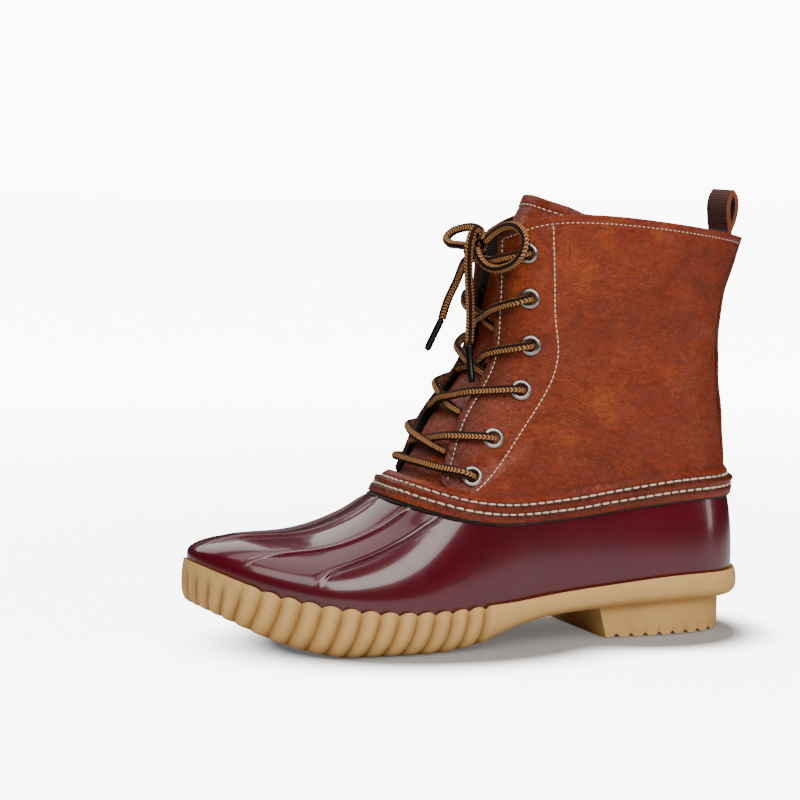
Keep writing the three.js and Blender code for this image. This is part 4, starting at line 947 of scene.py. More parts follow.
@dataclass(frozen=True)
class Finish:
    """A finish: its name, its slot in the record and its plain values."""

    name: str
    slot: str
    colour: int
    roughness: float = 0.5
    coat: float = 0.0
    coat_roughness: float = 0.1
    sheen: float = 0.0
    metal: float = 0.0
    specular: float = 0.5

    def material(self) -> bpy.types.Material:
        """Returns the finish as a material, made once."""
        known = bpy.data.materials.get(self.name)
        if known:
            return known
        material = bpy.data.materials.new(self.name)
        material.use_nodes = True
        nodes = Tree(material.node_tree)
        shader = material.node_tree.nodes["Principled BSDF"]
        values = {
            "Base Color": paint(self.colour), "Roughness": self.roughness, "Metallic": self.metal,
            "Coat Weight": self.coat, "Coat Roughness": self.coat_roughness, "Sheen Weight": self.sheen,
            "Specular IOR Level": self.specular,
        }
        for key, value in values.items():
            shader.inputs[key].default_value = value
        self.dress(nodes, shader)
        return material

    def dress(self, nodes: Tree, shader: ShaderNode) -> None:
        """Adds the finish's own pattern; the plain finish has a faint mottle."""
        cloud = nodes.noise(nodes.place(), 240.0, 3)
        tone = nodes.blend(nodes.ramp(cloud, 0.3, 0.7), paint(self.colour), self.shade(0.86))
        nodes.feed(tone, shader.inputs["Base Color"])
        self.bump(nodes, shader, cloud, 0.15, 0.0002)

    def shade(self, share: float) -> Quad:
        """Returns the finish's colour, darker or lighter by a share."""
        red, green, blue, _ = paint(self.colour)
        return (min(1.0, red * share), min(1.0, green * share), min(1.0, blue * share), 1.0)

    def uneven_gloss(
        self, nodes: Tree, shader: ShaderNode, noise: ShaderSocket, less: float = 0.04, more: float = 0.06
    ) -> None:
        """Varies the roughness with a noise, from a little less to a little more."""
        low, high = self.roughness - less, self.roughness + more
        rough = nodes.add("ShaderNodeMapRange", {"Value": noise, "To Min": low, "To Max": high})
        nodes.feed(rough.outputs[0], shader.inputs["Roughness"])

    @staticmethod
    def bump(
        nodes: Tree, shader: ShaderNode, height: ShaderSocket, strength: float, distance: float,
        under: ShaderSocket | None = None,
    ) -> ShaderSocket:
        """Feeds a height into the shader's normal.

        Args:
            nodes: The material's tree.
            shader: The shader.
            height: The height, about 0 to 1.
            strength: The bump's strength.
            distance: How far a height of 1 stands out, in metres.
            under: A normal from another bump that this one is laid on.
        Returns:
            The new normal.
        """
        node = nodes.add("ShaderNodeBump", {"Height": height, "Strength": strength, "Distance": distance})
        if under is not None:
            nodes.feed(under, node.inputs["Normal"])
        nodes.feed(node.outputs[0], shader.inputs["Normal"])
        return node.outputs[0]


@dataclass(frozen=True)
class Leather(Finish):
    """Waxed full-grain leather, clouded and finely wrinkled, with painted highlights along its wrinkles and
    painted shade beside its seams.
    """

    light: int = 0xB46432
    dark: int = 0x5E2614
    # Painted shade colour beside the seams and along the throat's edges.
    deep: int = 0x300A02
    # Painted highlight colour laid along the streaky wrinkle lines.
    wrinkle_highlight: int = 0xC4602C
    cloud_scale: float = 17.0
    grain: float = 620.0
    wrinkles: float = 0.6

    def dress(self, nodes: Tree, shader: ShaderNode) -> None:
        """Adds clouds, grain, wrinkles with painted highlights, painted shade beside the seams, and uneven
        gloss.
        """
        place = nodes.place()
        cloud = Shared.use(nodes, "clouded_tone", {
            "Vector": place, "Base": paint(self.colour), "Light": paint(self.light), "Dark": paint(self.dark),
            "Scale": self.cloud_scale,
        })
        given = {"Vector": place, "Scale": self.grain, "Wrinkles": self.wrinkles}
        grain = Shared.use(nodes, "hide_grain", given)
        height = grain.outputs["Height"]
        tone = nodes.blend(nodes.ramp(height, 0.25, 0.9), self.shade(0.62), cloud.outputs["Color"])
        tone = nodes.blend(0.62, cloud.outputs["Color"], tone)
        # Painted highlights: a lighter colour along streaky wrinkle lines, which also feed the fine bump.
        streak = nodes.add(
            "ShaderNodeMapping", {"Vector": place, "Scale": (1.0, 1.0, 2.6), "Rotation": (0.5, 0.2, 0.9)}
        )
        ridges = nodes.noise(streak.outputs[0], 150.0, 4, 0.62, 1.8)
        ridged = nodes.math("ABSOLUTE", nodes.math("SUBTRACT", ridges, 0.5))
        lines = nodes.math("SUBTRACT", 1.0, nodes.ramp(ridged, 0.0, 0.05))
        highlit_wrinkles = nodes.math("MULTIPLY", lines, nodes.ramp(nodes.noise(place, 24.0, 4, 0.6, 0.6), 0.46, 0.64))
        tone = nodes.blend(nodes.math("MULTIPLY", highlit_wrinkles, 0.5), tone, paint(self.wrinkle_highlight))
        # Painted shade: darker where the fold attribute marks the seams and the throat's edges.
        fold = nodes.add("ShaderNodeAttribute", attribute_name="fold").outputs["Fac"]
        tone = nodes.blend(nodes.math("MULTIPLY", fold, 0.85), tone, paint(self.deep))
        nodes.feed(tone, shader.inputs["Base Color"])
        self.uneven_gloss(nodes, shader, nodes.noise(place, 130.0, 4), 0.07, 0.13)
        slow = nodes.noise(place, 55.0, 4, 0.6, 0.8)
        under = self.bump(nodes, shader, slow, 0.75, 0.0026)
        fine = nodes.math("ADD", height, nodes.math("MULTIPLY", highlit_wrinkles, 0.6))
        self.bump(nodes, shader, fine, 0.75, 0.0004, under)


@dataclass(frozen=True)
class ShellRubber(Finish):
    """Polished moulded rubber with a faint unevenness in its gloss."""

    def dress(self, nodes: Tree, shader: ShaderNode) -> None:
        """Adds slow tone changes and soft waves under the polish."""
        place = nodes.place()
        slow = nodes.noise(place, 22.0, 3)
        tone = nodes.blend(nodes.ramp(slow, 0.3, 0.7), paint(self.colour), self.shade(0.72))
        nodes.feed(tone, shader.inputs["Base Color"])
        self.uneven_gloss(nodes, shader, nodes.noise(place, 70.0, 4))
        under = self.bump(nodes, shader, nodes.noise(place, 30.0, 2), 0.12, 0.0012)
        self.bump(nodes, shader, nodes.noise(place, 900.0, 2), 0.03, 0.0001, under)


@dataclass(frozen=True)
class SoleRubber(Finish):
    """Matte crepe-coloured rubber, with painted shade in its rib valleys and notches."""

    # Painted shade colour for the rib valleys and the heel block's notches.
    groove_shade: int = 0x94662F

    def dress(self, nodes: Tree, shader: ShaderNode) -> None:
        """Adds mottle, fine pitting and painted shade in the rib valleys and notches."""
        place = nodes.place()
        mottle = nodes.noise(place, 60.0, 5, 0.6)
        tone = nodes.blend(nodes.ramp(mottle, 0.3, 0.72), paint(self.colour), self.shade(0.9))
        # Painted shade: darker by the depth of the rib valleys and notches.
        groove_shade = nodes.add("ShaderNodeAttribute", attribute_name="groove_shade").outputs["Fac"]
        tone = nodes.blend(nodes.math("MULTIPLY", groove_shade, 0.75), tone, paint(self.groove_shade))
        nodes.feed(tone, shader.inputs["Base Color"])
        pits = nodes.noise(place, 1500.0, 3)
        under = self.bump(nodes, shader, nodes.noise(place, 110.0, 3), 0.2, 0.0006)
        self.bump(nodes, shader, pits, 0.25, 0.00012, under)


@dataclass(frozen=True)
class Braid(Finish):
    """Round braided cord with golden herringbone bands on brown, laid on the UV map's metres and turns."""

    gold: int = 0xCE8E54
    pitch: float = 0.0015
    bands: int = 3

    def dress(self, nodes: Tree, shader: ShaderNode) -> None:
        """Adds the herringbone and the relief of its strands."""
        uv = nodes.add("ShaderNodeUVMap").outputs[0]
        parts = nodes.add("ShaderNodeSeparateXYZ", {0: uv})
        along, turn = parts.outputs[0], parts.outputs[1]
        lanes = nodes.math("MULTIPLY", turn, 2.0 * self.bands)
        lane = nodes.math("FRACT", lanes)
        side = nodes.math("PINGPONG", lanes, 1.0)
        steps = nodes.math("DIVIDE", along, self.pitch)
        phase = nodes.math("ADD", steps, nodes.math("MULTIPLY", side, 0.9))
        wave = nodes.math("PINGPONG", phase, 0.5)
        strand = nodes.ramp(wave, 0.06, 0.34)
        around = nodes.math("PINGPONG", nodes.math("MULTIPLY", turn, float(self.bands)), 0.5)
        band = nodes.ramp(around, 0.19, 0.27)
        gold = nodes.math("MULTIPLY", strand, band)
        tone = nodes.blend(gold, paint(self.colour), paint(self.gold))
        between = nodes.math("SUBTRACT", 1.0, strand)
        shadow = nodes.math("SUBTRACT", 1.0, nodes.math("MULTIPLY", between, 0.35))
        dark = nodes.add("ShaderNodeCombineColor", {0: shadow, 1: shadow, 2: shadow}).outputs[0]
        nodes.feed(nodes.blend(1.0, tone, dark, "MULTIPLY"), shader.inputs["Base Color"])
        round_lane = nodes.math("SINE", nodes.math("MULTIPLY", lane, math.pi))
        height = nodes.math("MULTIPLY", nodes.math("ADD", strand, 0.3), nodes.math("ADD", round_lane, 0.4))
        self.bump(nodes, shader, height, 0.75, 0.0005)


@dataclass(frozen=True)
class Woven(Finish):
    """Plain woven cloth or webbing, laid on the piece's own coordinates."""

    thread: float = 0.0009
    other: int = 0x2A2422

    def dress(self, nodes: Tree, shader: ShaderNode) -> None:
        """Adds crossing threads."""
        parts = nodes.add("ShaderNodeSeparateXYZ", {0: nodes.place()})
        heights = []
        for axis in (1, 2):
            wave = nodes.math("PINGPONG", nodes.math("DIVIDE", parts.outputs[axis], self.thread), 0.5)
            heights.append(nodes.ramp(wave, 0.02, 0.48))
        weave = nodes.math("MULTIPLY", heights[0], heights[1])
        mottle = nodes.noise(nodes.place(), 300.0, 3)
        tone = nodes.blend(weave, paint(self.other), paint(self.colour))
        tone = nodes.blend(nodes.ramp(mottle, 0.35, 0.75), tone, self.shade(0.8))
        nodes.feed(tone, shader.inputs["Base Color"])
        self.bump(nodes, shader, weave, 0.6, 0.0004)


@dataclass(frozen=True)
class BrushedMetal(Finish):
    """Plated metal with soft marks."""

    def dress(self, nodes: Tree, shader: ShaderNode) -> None:
        """Adds uneven polish."""
        marks = nodes.noise(nodes.place(), 260.0, 2)
        self.uneven_gloss(nodes, shader, marks)
        self.bump(nodes, shader, marks, 0.02, 0.0001)


HIDE = Leather(
    "waxed_hide", "leather", 0x8E300A, roughness=0.42, coat=0.14, coat_roughness=0.3, specular=0.35,
    light=0xB8541A, dark=0x561804
)
HIDE_EDGE = Leather("hide_edge", "leather", 0x7A2F12, roughness=0.55, light=0x9A4A20, dark=0x42160A)
LINING = Woven("dark_lining", "footbed", 0x1A1818, roughness=0.9, sheen=0.15, other=0x0C0B0B, thread=0.0011)
SHELL = ShellRubber(
    "burgundy_rubber", "shell_rubber", 0x60061A, roughness=0.24, coat=0.7, coat_roughness=0.09
)
SOLE = SoleRubber("crepe_rubber", "sole_rubber", 0xEAB870, roughness=0.62, specular=0.3)
BRAIDED = Braid("herringbone_braid", "lace_cord", 0x2A0D05, roughness=0.75, specular=0.25)
CREAM = Finish("cream_thread", "leather", 0xFFF0D6, roughness=0.6)
EYELET = BrushedMetal("plated_metal", "steel", 0xB4B4AF, roughness=0.26, metal=1.0)
TIP = Finish("tip_plastic", "aglet", 0x0F0F10, roughness=0.28)
WEBBING = Woven("strap_webbing", "strap", 0x6E3A30, roughness=0.7, other=0x4A241C, thread=0.0011)
WEBBING_EDGE = Finish("webbing_edge", "strap", 0x84401C, roughness=0.7)
FELT = Finish("felt_edge", "footbed", 0x171414, roughness=0.95, sheen=0.2)


def dress(piece: Piece, *finishes: Finish) -> None:
    """Gives a piece its finishes as its materials, the first one first."""
    piece.data.materials.clear()
    for finish in finishes:
        piece.data.materials.append(finish.material())


def stands_for(piece: Piece, *nodes: str) -> Piece:
    """Lets a piece ride on the boot in place of CAD nodes."""
    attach(piece, "root")
    if nodes:
        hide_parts(*nodes)
    LOG.info("%s: %d faces", piece.name, len(piece.data.polygons))
    return piece


def braided(name: str, route: Route, radius: float) -> Piece:
    """Returns a dressed cord along a route, a little thinner than its solid."""
    piece = tube(name, route, radius * BRAID_SHARE)
    dress(piece, BRAIDED)
    return piece


# Sub-assemblies


@dataclass
class Outsole:
    """Ribbed rubber outsole with its notched heel block."""

    last: Last
    bulge: float = 3.4
    end_bulge: float = 1.9
    rib_pitch: float = 9
    rib_depth: float = 2.3
    rib_start: float = 0.52
    rib_slant: float = 7
    scallop: float = 1.9
    columns_a_rib: int = 14
    block_length: float = 69.5
    block_inset: float = 6
    block_back_inset: float = 9.6
    breast_slant: float = 4.5
    notch_pitch: float = 7.2
    notch_depth: float = 1.5
    notch_radius: float = 1.7
    edge_round: float = 0.5
    wall_gap: float = 0.3

    def __post_init__(self) -> None:
        """Works out the ribs' number and the side's profiles."""
        length = self.last.edge_lines[Side.OUTER].length
        self.ribs = round(length * (1 - self.rib_start) / self.rib_pitch)
        downs = (0, 0.2, 0.5, 0.82, 0.97, 1)
        self.out = Profile(downs, (0.6, 0.88, 1, 0.62, -0.45, -1.4))
        self.depth = Profile(downs, (0.55, 1, 1, 1, 0.8, 0))
        self.sweep = Profile(downs, (0, 0.1, 0.35, 0.75, 1, 1.1))

    def valley(self, share: Array) -> Array:
        """Returns how deep the valley between two ribs is, from 0 on a crown to 1."""
        phase = (share - self.rib_start) / (1 - self.rib_start) * self.ribs
        deep = 1 - np.abs(np.sin(np.pi * phase)) ** 0.85
        return np.where(share < self.rib_start - 1e-6, 0, deep)

    def side_ring(self, side: Side, share: Array, down: float) -> tuple[Array, Array]:
        """Returns one ring of the band's side and how deep its ribs' valleys are there."""
        valley = self.valley(share) * (1 - smooth(share, 0.84, 0.92) * (1 - smooth(down, 0.08, 0.5)))
        line = self.last.edge_lines[side]
        fade = smooth(share, self.rib_start - 0.15, self.rib_start + 0.1) * (1 - smooth(share, 0.85, 1))
        moved = np.clip(share + fade * self.sweep(down) * self.rib_slant / line.length, 0, 1)
        point, out, place = self.last.edge_point(side, moved)
        rim = self.last.rim(place) - self.scallop * valley * (1 - smooth(share, 0.84, 0.9))
        tip = smooth(share, 0.86, 1)
        bulge = mix(self.bulge, self.end_bulge, np.clip(tip + 1 - smooth(share, 0, 0.1), 0, 1))
        offset = self.out(down) * bulge - self.depth(down) * self.rib_depth * valley * (1 - 0.45 * tip)
        level = mix(rim, self.last.bottom(place), down)
        return np.column_stack([point + out * offset[:, None], level]), valley * self.depth(down)

    def rows(self) -> tuple[Array, Array]:
        """Returns the rings of the band, underside first, and the painted shade of their rib valleys."""
        plain = self.rib_start * (np.arange(70) / 70) ** 1.15
        share = np.concatenate([plain, np.linspace(self.rib_start, 1, self.ribs * self.columns_a_rib + 1)])
        rings, groove_shades = [], []
        for down in (1, 0.985, 0.97, 0.94, 0.9, 0.82, 0.72, 0.6, 0.5, 0.4, 0.3, 0.2, 0.12, 0.06, 0.02, 0):
            outer, depth = self.side_ring(Side.OUTER, share, down)
            inner, other = self.side_ring(Side.INNER, share, down)
            rings.append(np.vstack([outer, inner[::-1]]))
            groove_shades.append(np.concatenate([depth, other[::-1]]))
        for level in (-0.4, -4.5, -9):
            sides = []
            for side in Side:
                _, _, place = self.last.edge_point(side, share)
                drop = self.scallop * self.valley(share) * (1 - smooth(share, 0.84, 0.9)) * (level > -1)
                height = np.maximum(self.last.rim(place) - drop + level, self.last.floor(place) - 0.4)
                sides.append(self.last.side_point(side, share, height, self.wall_gap))
            rings.append(np.vstack([sides[0], sides[1][::-1]]))
            groove_shades.append(np.zeros(len(share) * 2))
        return np.stack(rings), np.stack(groove_shades)

    @staticmethod
    def filled(ring: Array) -> Array:
        """Returns rows from the outer half of a ring to its inner half."""
        half = len(ring) // 2
        outer, inner = ring[:half], ring[half:][::-1]
        return np.stack([outer * (1 - share) + inner * share for share in np.linspace(0, 1, 9)])

    def band(self) -> Piece:
        """Returns the ribbed band with its underside and floor."""
        rows, groove_shades = self.rows()
        flat, top = self.filled(rows[0]), self.filled(rows[-1])
        sheets = (
            ("outsole", rows[:, ::-1], groove_shades[:, ::-1]), ("underside", flat, np.zeros(flat.shape[:2])),
            ("floor", top[:, ::-1], np.zeros(top.shape[:2])),
        )
        pieces = []
        for name, points, values in sheets:
            pieces.append(lofted(name, self.last.into_boot(points)))
            # Stores the painted shade of the rib valleys.
            marked(pieces[-1], "groove_shade", values)
        whole = joined("outsole", pieces)
        edited(whole, merged(4e-6), consistent)
        smoothed(whole, 62)
        return whole

    def block(self) -> Piece:
        """Returns the heel block, notched across its underside."""
        last = self.last
        share = 0.4 * np.linspace(0, 1, 160)
        sides = {}
        for side in Side:
            point, out, _ = last.edge_point(side, share)
            inset = mix(self.block_inset, self.block_back_inset, np.abs(out[:, 0]))
            sides[side] = point + out * (self.bulge - inset)[:, None]
        back = max(sides[side][0, 0] for side in Side)
        breast = -self.bulge + self.block_back_inset + self.block_length
        top = 0.95 * last.heel_height + 0.4 * last.floor_thickness
        x = back + (breast + self.breast_slant - back) * (1 - np.cos(np.linspace(0, np.pi / 2, 40))) * 0.16
        x = np.concatenate([x[:-1], np.linspace(x[-1], breast + self.breast_slant, 330)])
        notch = np.zeros_like(x)
        place = last.heel_rest_forward - x
        first = (math.ceil((last.heel_rest_forward - breast) / self.notch_pitch) + 0.5) * self.notch_pitch
        end = last.heel_rest_forward + self.bulge - self.block_back_inset - self.notch_pitch
        for middle in np.arange(first, end, self.notch_pitch):
            reach = np.clip(np.abs(place - middle) / self.notch_radius, 0, 1)
            notch = np.maximum(notch, self.notch_depth * (1 - reach**1.3) ** 0.8)
        slant = np.clip((x - breast) / self.breast_slant, 0, 1) * top
        low = np.maximum(notch, slant)
        left, right = (np.interp(x, *sides[side].T) for side in Side)
        under, climb = (0, 0.12, 0.5, 0.88, 1), (0.35, 0.8, 1.0)
        loops = []
        for t in under:
            lifted = self.edge_round if t in (0, 1) else 0
            loops.append(np.column_stack([x, mix(left, right, t), low + lifted]))
        for wall, steps in ((right, climb), (left, climb[::-1])):
            for t in steps:
                loops.append(np.column_stack([x, wall, mix(low + self.edge_round, top, t)]))
        loops.append(loops[0])
        piece = lofted("heel_block", last.into_boot(np.stack(loops)))
        # Painted shade in the notches, stored for the sole's colour.
        shade = 0.8 * notch / self.notch_depth
        marked(piece, "groove_shade", np.stack([shade * (index < len(under)) for index in range(len(loops))]))
        edited(piece, merged(4e-6), consistent)
        smoothed(piece, 38)
        return piece

    def build(self) -> None:
        """Builds and dresses the outsole."""
        whole = joined("outsole", [self.band(), self.block()])
        dress(whole, SOLE)
        stands_for(whole, "outsole")


@dataclass
class RubberShell:
    """Glossy shell over the foot, from the sole's rim up under the leather."""

    last: Last
    wall: float = 2.2
    lap: float = 8
    bead_width: float = 3.6
    bead_height: float = 1.4
    bead_shares: tuple[float, ...] = (0.783, 0.9, 1)
    bead_groove: float = 0.55
    below: tuple[float, ...] = (0.35, 0.62, 0.82)
    over: tuple[float, ...] = (0.35, 0.7, 1.0)
    rows: int = 46

    def __post_init__(self) -> None:
        """Works out where the lines up the shell meet the hem."""
        self.hem_share = Profile((0, 0.333, 0.55, 0.783, 0.9, 1), (0, 0.487, 0.70, 0.811, 0.885, 1))

    def lines(self, side: Side, shares: Array) -> Array:
        """Returns points up the shell's skin for each share of the edge line, below it and over it."""
        last = self.last
        hem, lap = last.hem_line(side, 0), last.hem_line(side, self.lap)
        point, _, place = last.edge_point(side, shares)
        tops, laps = hem.at(self.hem_share(shares)), lap.at(self.hem_share(shares))
        columns = []
        low, high = last.floor(place), last.edge(place)
        below = [last.side_point(side, shares, mix(low, high, t), 0) for t in self.below]
        for index in range(len(shares)):
            start, top = point[index], tops[index]
            corner = np.array([mix(start[0], top[0], 0.08), mix(start[1], top[1], 0.9)])
            t = (np.linspace(0, 1, 25) ** 2)[:, None]
            plan = (1 - t) ** 2 * start + 2 * t * (1 - t) * corner + t**2 * top[:2]
            height = last.skin_height(plan[:, 0], plan[:, 1])
            height[0] = last.edge(start[0] / last.length)
            route = Route(np.column_stack([plan, height]), 8)
            up = route.at(np.linspace(0, 1, self.rows + 1))
            over = [mix(tops[index], laps[index], t) for t in self.over]
            columns.append(np.vstack([[ring[index] for ring in below], up, over]))
        return np.stack(columns, axis=1)

    def shares(self) -> Array:
        """Returns the shares of the columns, closer on the beads."""
        length = self.last.edge_lines[Side.OUTER].length
        half = self.bead_width / 2 / length
        plain = np.concatenate([0.5 * (np.arange(60) / 60) ** 1.2, np.linspace(0.5, 1, 100)])
        beads = np.concatenate([share + half * np.linspace(-1.15, 1.15, 15) for share in self.bead_shares])
        clear = np.min(np.abs(plain[:, None] - np.array(self.bead_shares)[None]), axis=1) > 1.3 * half
        return np.sort(np.concatenate([plain[clear], beads[beads < 1], [1]]))

    def build(self) -> None:
        """Builds and dresses the shell."""
        shares = self.shares()
        length = self.last.edge_lines[Side.OUTER].length
        outer, inner = (self.lines(side, shares) for side in Side)
        grid = np.concatenate([outer, inner[:, ::-1][:, 1:]], axis=1)
        normal = grid_normals(grid, True)
        around = np.concatenate([shares, shares[::-1][1:]])
        row, first = np.arange(len(grid)), len(self.below)
        rise = smooth(row, first + 0.03 * self.rows, first + 0.3 * self.rows)
        rise = rise * (1 - 0.75 * smooth(row, first + 0.9 * self.rows, first + self.rows))
        lift = np.zeros_like(around)
        for bead in self.bead_shares:
            off = (around - bead) * length / (self.bead_width / 2)
            lift += self.bead_height * np.exp(-(np.abs(off) ** 2.6) * 1.6)
            lift -= self.bead_groove * hump(np.abs(off), 1.4, 0.6)
        grid = grid + normal * (lift[None] * rise[:, None])[..., None]
        piece = lofted("shell", self.last.into_boot(grid)[:, ::-1], around=True)
        walled(piece, self.wall, 0.5)
        dress(piece, SHELL)
        stands_for(piece, "shell")


@dataclass(frozen=True)
class Crease:
    """Soft trough with raised sides on the shaft.

    Its points are distances from the middle of the front and heights over the hem's band.
    """

    points: tuple[tuple[float, float], ...]
    depth: float = 0.8
    width: float = 5.0

    def relief(self, across: Array, height: Array) -> Array:
        """Returns the crease's relief at places of the skin.

        Args:
            across: Signed distances from the middle of the front, in millimetres.
            height: Heights over the hem's band, in millimetres.
        Returns:
            How far the skin moves out there.
        """
        route = np.asarray(self.points, float)
        best = np.full(across.shape, 1e9)
        share = np.zeros(across.shape)
        count = len(route) - 1
        for index, (start, end) in enumerate(zip(route[:-1], route[1:])):
            step = end - start
            t = ((across - start[0]) * step[0] + (height - start[1]) * step[1]) / (step @ step)
            t = np.clip(t, 0, 1)
            gap = np.hypot(across - start[0] - t * step[0], height - start[1] - t * step[1])
            near = gap < best
            best = np.where(near, gap, best)
            share = np.where(near, (index + t) / count, share)
        fade = np.sin(np.pi * np.clip(share, 0.02, 0.98)) ** 0.7
        r = best / self.width
        return self.depth * fade * (0.55 * np.exp(-((r - 1.25) ** 2) * 3.2) - np.exp(-(r**2) * 1.7))


@dataclass
class LeatherShaft:
    """Leather shaft with its stitched hem, folded collar, quarter edges and lining."""

    form: ShaftForm
    wall: float = 2
    hem_roll: float = 3.4
    plain_out: float = 0.1
    hem_rows: tuple[float, float] = (3.4, 8.2)
    hem_overhang: float = 1.1
    inner_dip: float = 0.095
    hem_pitch: float = 4.6
    row_depths: tuple[float, float] = (0.9, 1.1)
    pucker: float = 0.3
    sag: float = 0.35
    turned_edge: float = 0.35
    collar_fold: float = 0.45
    corner: float = 5.5
    panel_columns: int = 300
    throat_columns: int = 40
    creases: tuple[Crease, ...] = (
        Crease(((-34, 6), (-48, 16), (-60, 34)), 0.9, 6),
        Crease(((-52, 4), (-70, 14), (-92, 17)), 0.8, 6),
        Crease(((-44, 58), (-58, 62), (-76, 72)), 0.6, 5),
        Crease(((-40, 84), (-60, 92), (-84, 90)), 0.5, 5),
        Crease(((-96, 30), (-116, 40), (-140, 38)), 0.8, 7),
        Crease(((-100, 62), (-124, 66), (-150, 60)), 0.5, 6),
        Crease(((-70, 100), (-96, 110), (-120, 104)), 0.45, 6),
        Crease(((34, 6), (50, 18), (62, 36)), 0.9, 6),
        Crease(((54, 5), (74, 14), (96, 16)), 0.8, 6),
        Crease(((46, 60), (62, 66), (80, 74)), 0.6, 5),
        Crease(((96, 30), (118, 42), (142, 40)), 0.8, 7),
        Crease(((78, 96), (100, 106), (126, 100)), 0.5, 6),
    )

    def edge_gap(self, rise: Values) -> Array:
        """Returns the throat's half gap, with the quarter's lower corner rounded."""
        rise = np.asarray(rise, float)
        return self.form.gap(rise) + self.corner * (1 - np.sqrt(1 - (1 - np.clip(rise / 0.075, 0, 1)) ** 2))

    def flare(self, rise: Values) -> Array:
        """Returns how far the leather above the band leans out towards it."""
        near = 0.5 * (1 - smooth(rise, 0, 0.1)) + 0.5 * (1 - smooth(rise, 0, 0.3))
        return (0.5 * self.hem_roll - self.plain_out) * near

    def off(self, across: Array, lift: Array, rise: Array) -> Array:
        """Returns how far the leather stands off the form's skin.

        Args:
            across: Signed distances from the middle of the front.
            lift: Lifts over the hem's edge.
            rise: Shares of the way from the band's top to the collar.
        Returns:
            The distances in millimetres.
        """
        across, lift, rise = np.broadcast_arrays(np.asarray(across, float), lift, rise)
        roll = self.hem_roll
        band = Profile((0, 2.75, 6, 9.5, 12.5), [share * roll for share in (0.62, 0.92, 1, 0.82, 0.5)])
        above = self.plain_out + self.flare(rise)
        value = np.where(rise > 0, above, band(lift))
        height = lift + rise * self.form.quarter_length
        first, second = self.hem_rows
        middle, (sink, sink_above) = (first + second) / 2, self.row_depths
        value = value - sink * hump(height, first, 1.5) - sink_above * hump(height, second, 1.7)
        value = value + 0.9 * hump(height, middle, 1.9) + 0.12 * hump(height, second + 3.2, 2.6)
        wave = np.cos(2 * np.pi * across / self.hem_pitch)
        pucker = hump(height, first, 2.4) + 1.1 * hump(height, second, 2.8)
        value = value + self.pucker * wave * pucker
        uneven = np.sin(across * 0.23 + 1.3) * np.sin(across * 0.071 + 0.4)
        value = value + self.sag * uneven * hump(height, middle, 8)
        for crease in self.creases:
            value = value + crease.relief(across, height - self.form.band)
        top = (1 - rise) * self.form.quarter_length
        upper, turn = rise > 0.5, self.turned_edge
        fold = self.collar_fold * smooth(top, 3.4, 2.0) * upper - turn * hump(top, 3.4, 0.9) * upper
        edge = np.abs(across) - self.edge_gap(rise)
        turned = (turn * smooth(edge, 3.0, 1.8) - turn * hump(edge, 3.2, 0.9)) * (rise > 0.01)
        return value + fold + turned

    def fold(self, across: Array, lift: Array, rise: Array) -> Array:
        """Returns the painted shade of a place, from 0 to 1: in the dips under the hem's rows and the band's
        top, and along the quarters' edges at the throat.
        """
        across, lift, rise = np.broadcast_arrays(np.asarray(across, float), lift, rise)
        height = lift + rise * self.form.quarter_length
        wave = 0.84 + 0.16 * np.cos(2 * np.pi * across / self.hem_pitch)
        deep = sum(hump(height, row - 0.8, 2.6) for row in self.hem_rows) * wave
        deep = deep + 0.3 * hump(height, self.form.band + 0.6, 2.6)
        edge = np.abs(across) - self.edge_gap(rise)
        beside = 0.5 * hump(edge, 3.2, 0.9) + 0.6 * (1 - smooth(edge, 3, 18))
        return np.clip(deep + beside * (rise > 0.01), 0, 1)

    def point(self, across: Array, lift: Values, rise: Values) -> Array:
        """Returns points of the leather's face, in the last's axes."""
        across, lift, rise = np.broadcast_arrays(np.asarray(across, float), lift, rise)
        near = (across > 0) * (1 - smooth(across - self.form.gap(rise), 8, 62))
        lowered = rise - self.inner_dip * smooth(rise, 0.78, 1) * near
        return self.form.lifted(across, lift, lowered, self.off(across, lift, rise))

    def grid(self) -> tuple[Array, Array, Array]:
        """Returns the outer skin's grid, the cells that stay open, and the painted shade at its points."""
        form = self.form
        lifts = np.linspace(0, form.band, 24)
        spans = ((0, 0.1, 12), (0.1, 0.955, 66), (0.955, 1, 7))
        rises = np.concatenate([np.linspace(*span)[1:] for span in spans])
        lift = np.concatenate([lifts, np.full(len(rises), form.band)])
        rise = np.concatenate([np.zeros(len(lifts)), rises])
        back = {side: form.row_length[side](rise) for side in Side}
        gap = self.edge_gap(rise)
        share = np.linspace(0, 1, self.panel_columns // 2)
        share = 0.35 * share + 0.65 * share**1.1
        throat = np.linspace(-1, 1, self.throat_columns + 1)
        rows, seam_shades = [], []
        for index in range(len(rise)):
            outer = -mix(gap[index], back[Side.OUTER][index], share)[::-1]
            inner = mix(gap[index], back[Side.INNER][index], share)
            across = np.concatenate([outer, throat[1:-1] * gap[index], inner])
            rows.append(self.point(across, lift[index], rise[index]))
            seam_shades.append(self.fold(across, lift[index], rise[index]))
        count = len(share)
        cells = np.zeros((len(rise) - 1, 2 * count + self.throat_columns - 2), bool)
        cells[len(lifts) - 1:, count - 1: count - 1 + self.throat_columns] = True
        rows[0] = rows[0] + unit(rows[0] - rows[2]) * self.hem_overhang
        return np.stack(rows), cells, np.stack(seam_shades)

    def body(self) -> Piece:
        """Returns the shaft's wall, open at the throat."""
        grid, cells, seam_shades = self.grid()
        grid[:, -1] = grid[:, 0] = (grid[:, 0] + grid[:, -1]) / 2
        piece = lofted("shaft", self.form.last.into_boot(grid)[:, ::-1])
        # Stores the painted shade beside the seams for the leather's colour.
        marked(piece, "fold", seam_shades[:, ::-1])
        without_cells(piece, cells[:, ::-1])
        edited(piece, merged())
        dress(piece, HIDE, LINING, HIDE_EDGE)
        walled(piece, self.wall, 0.55, inside=1, rim=2)
        return piece

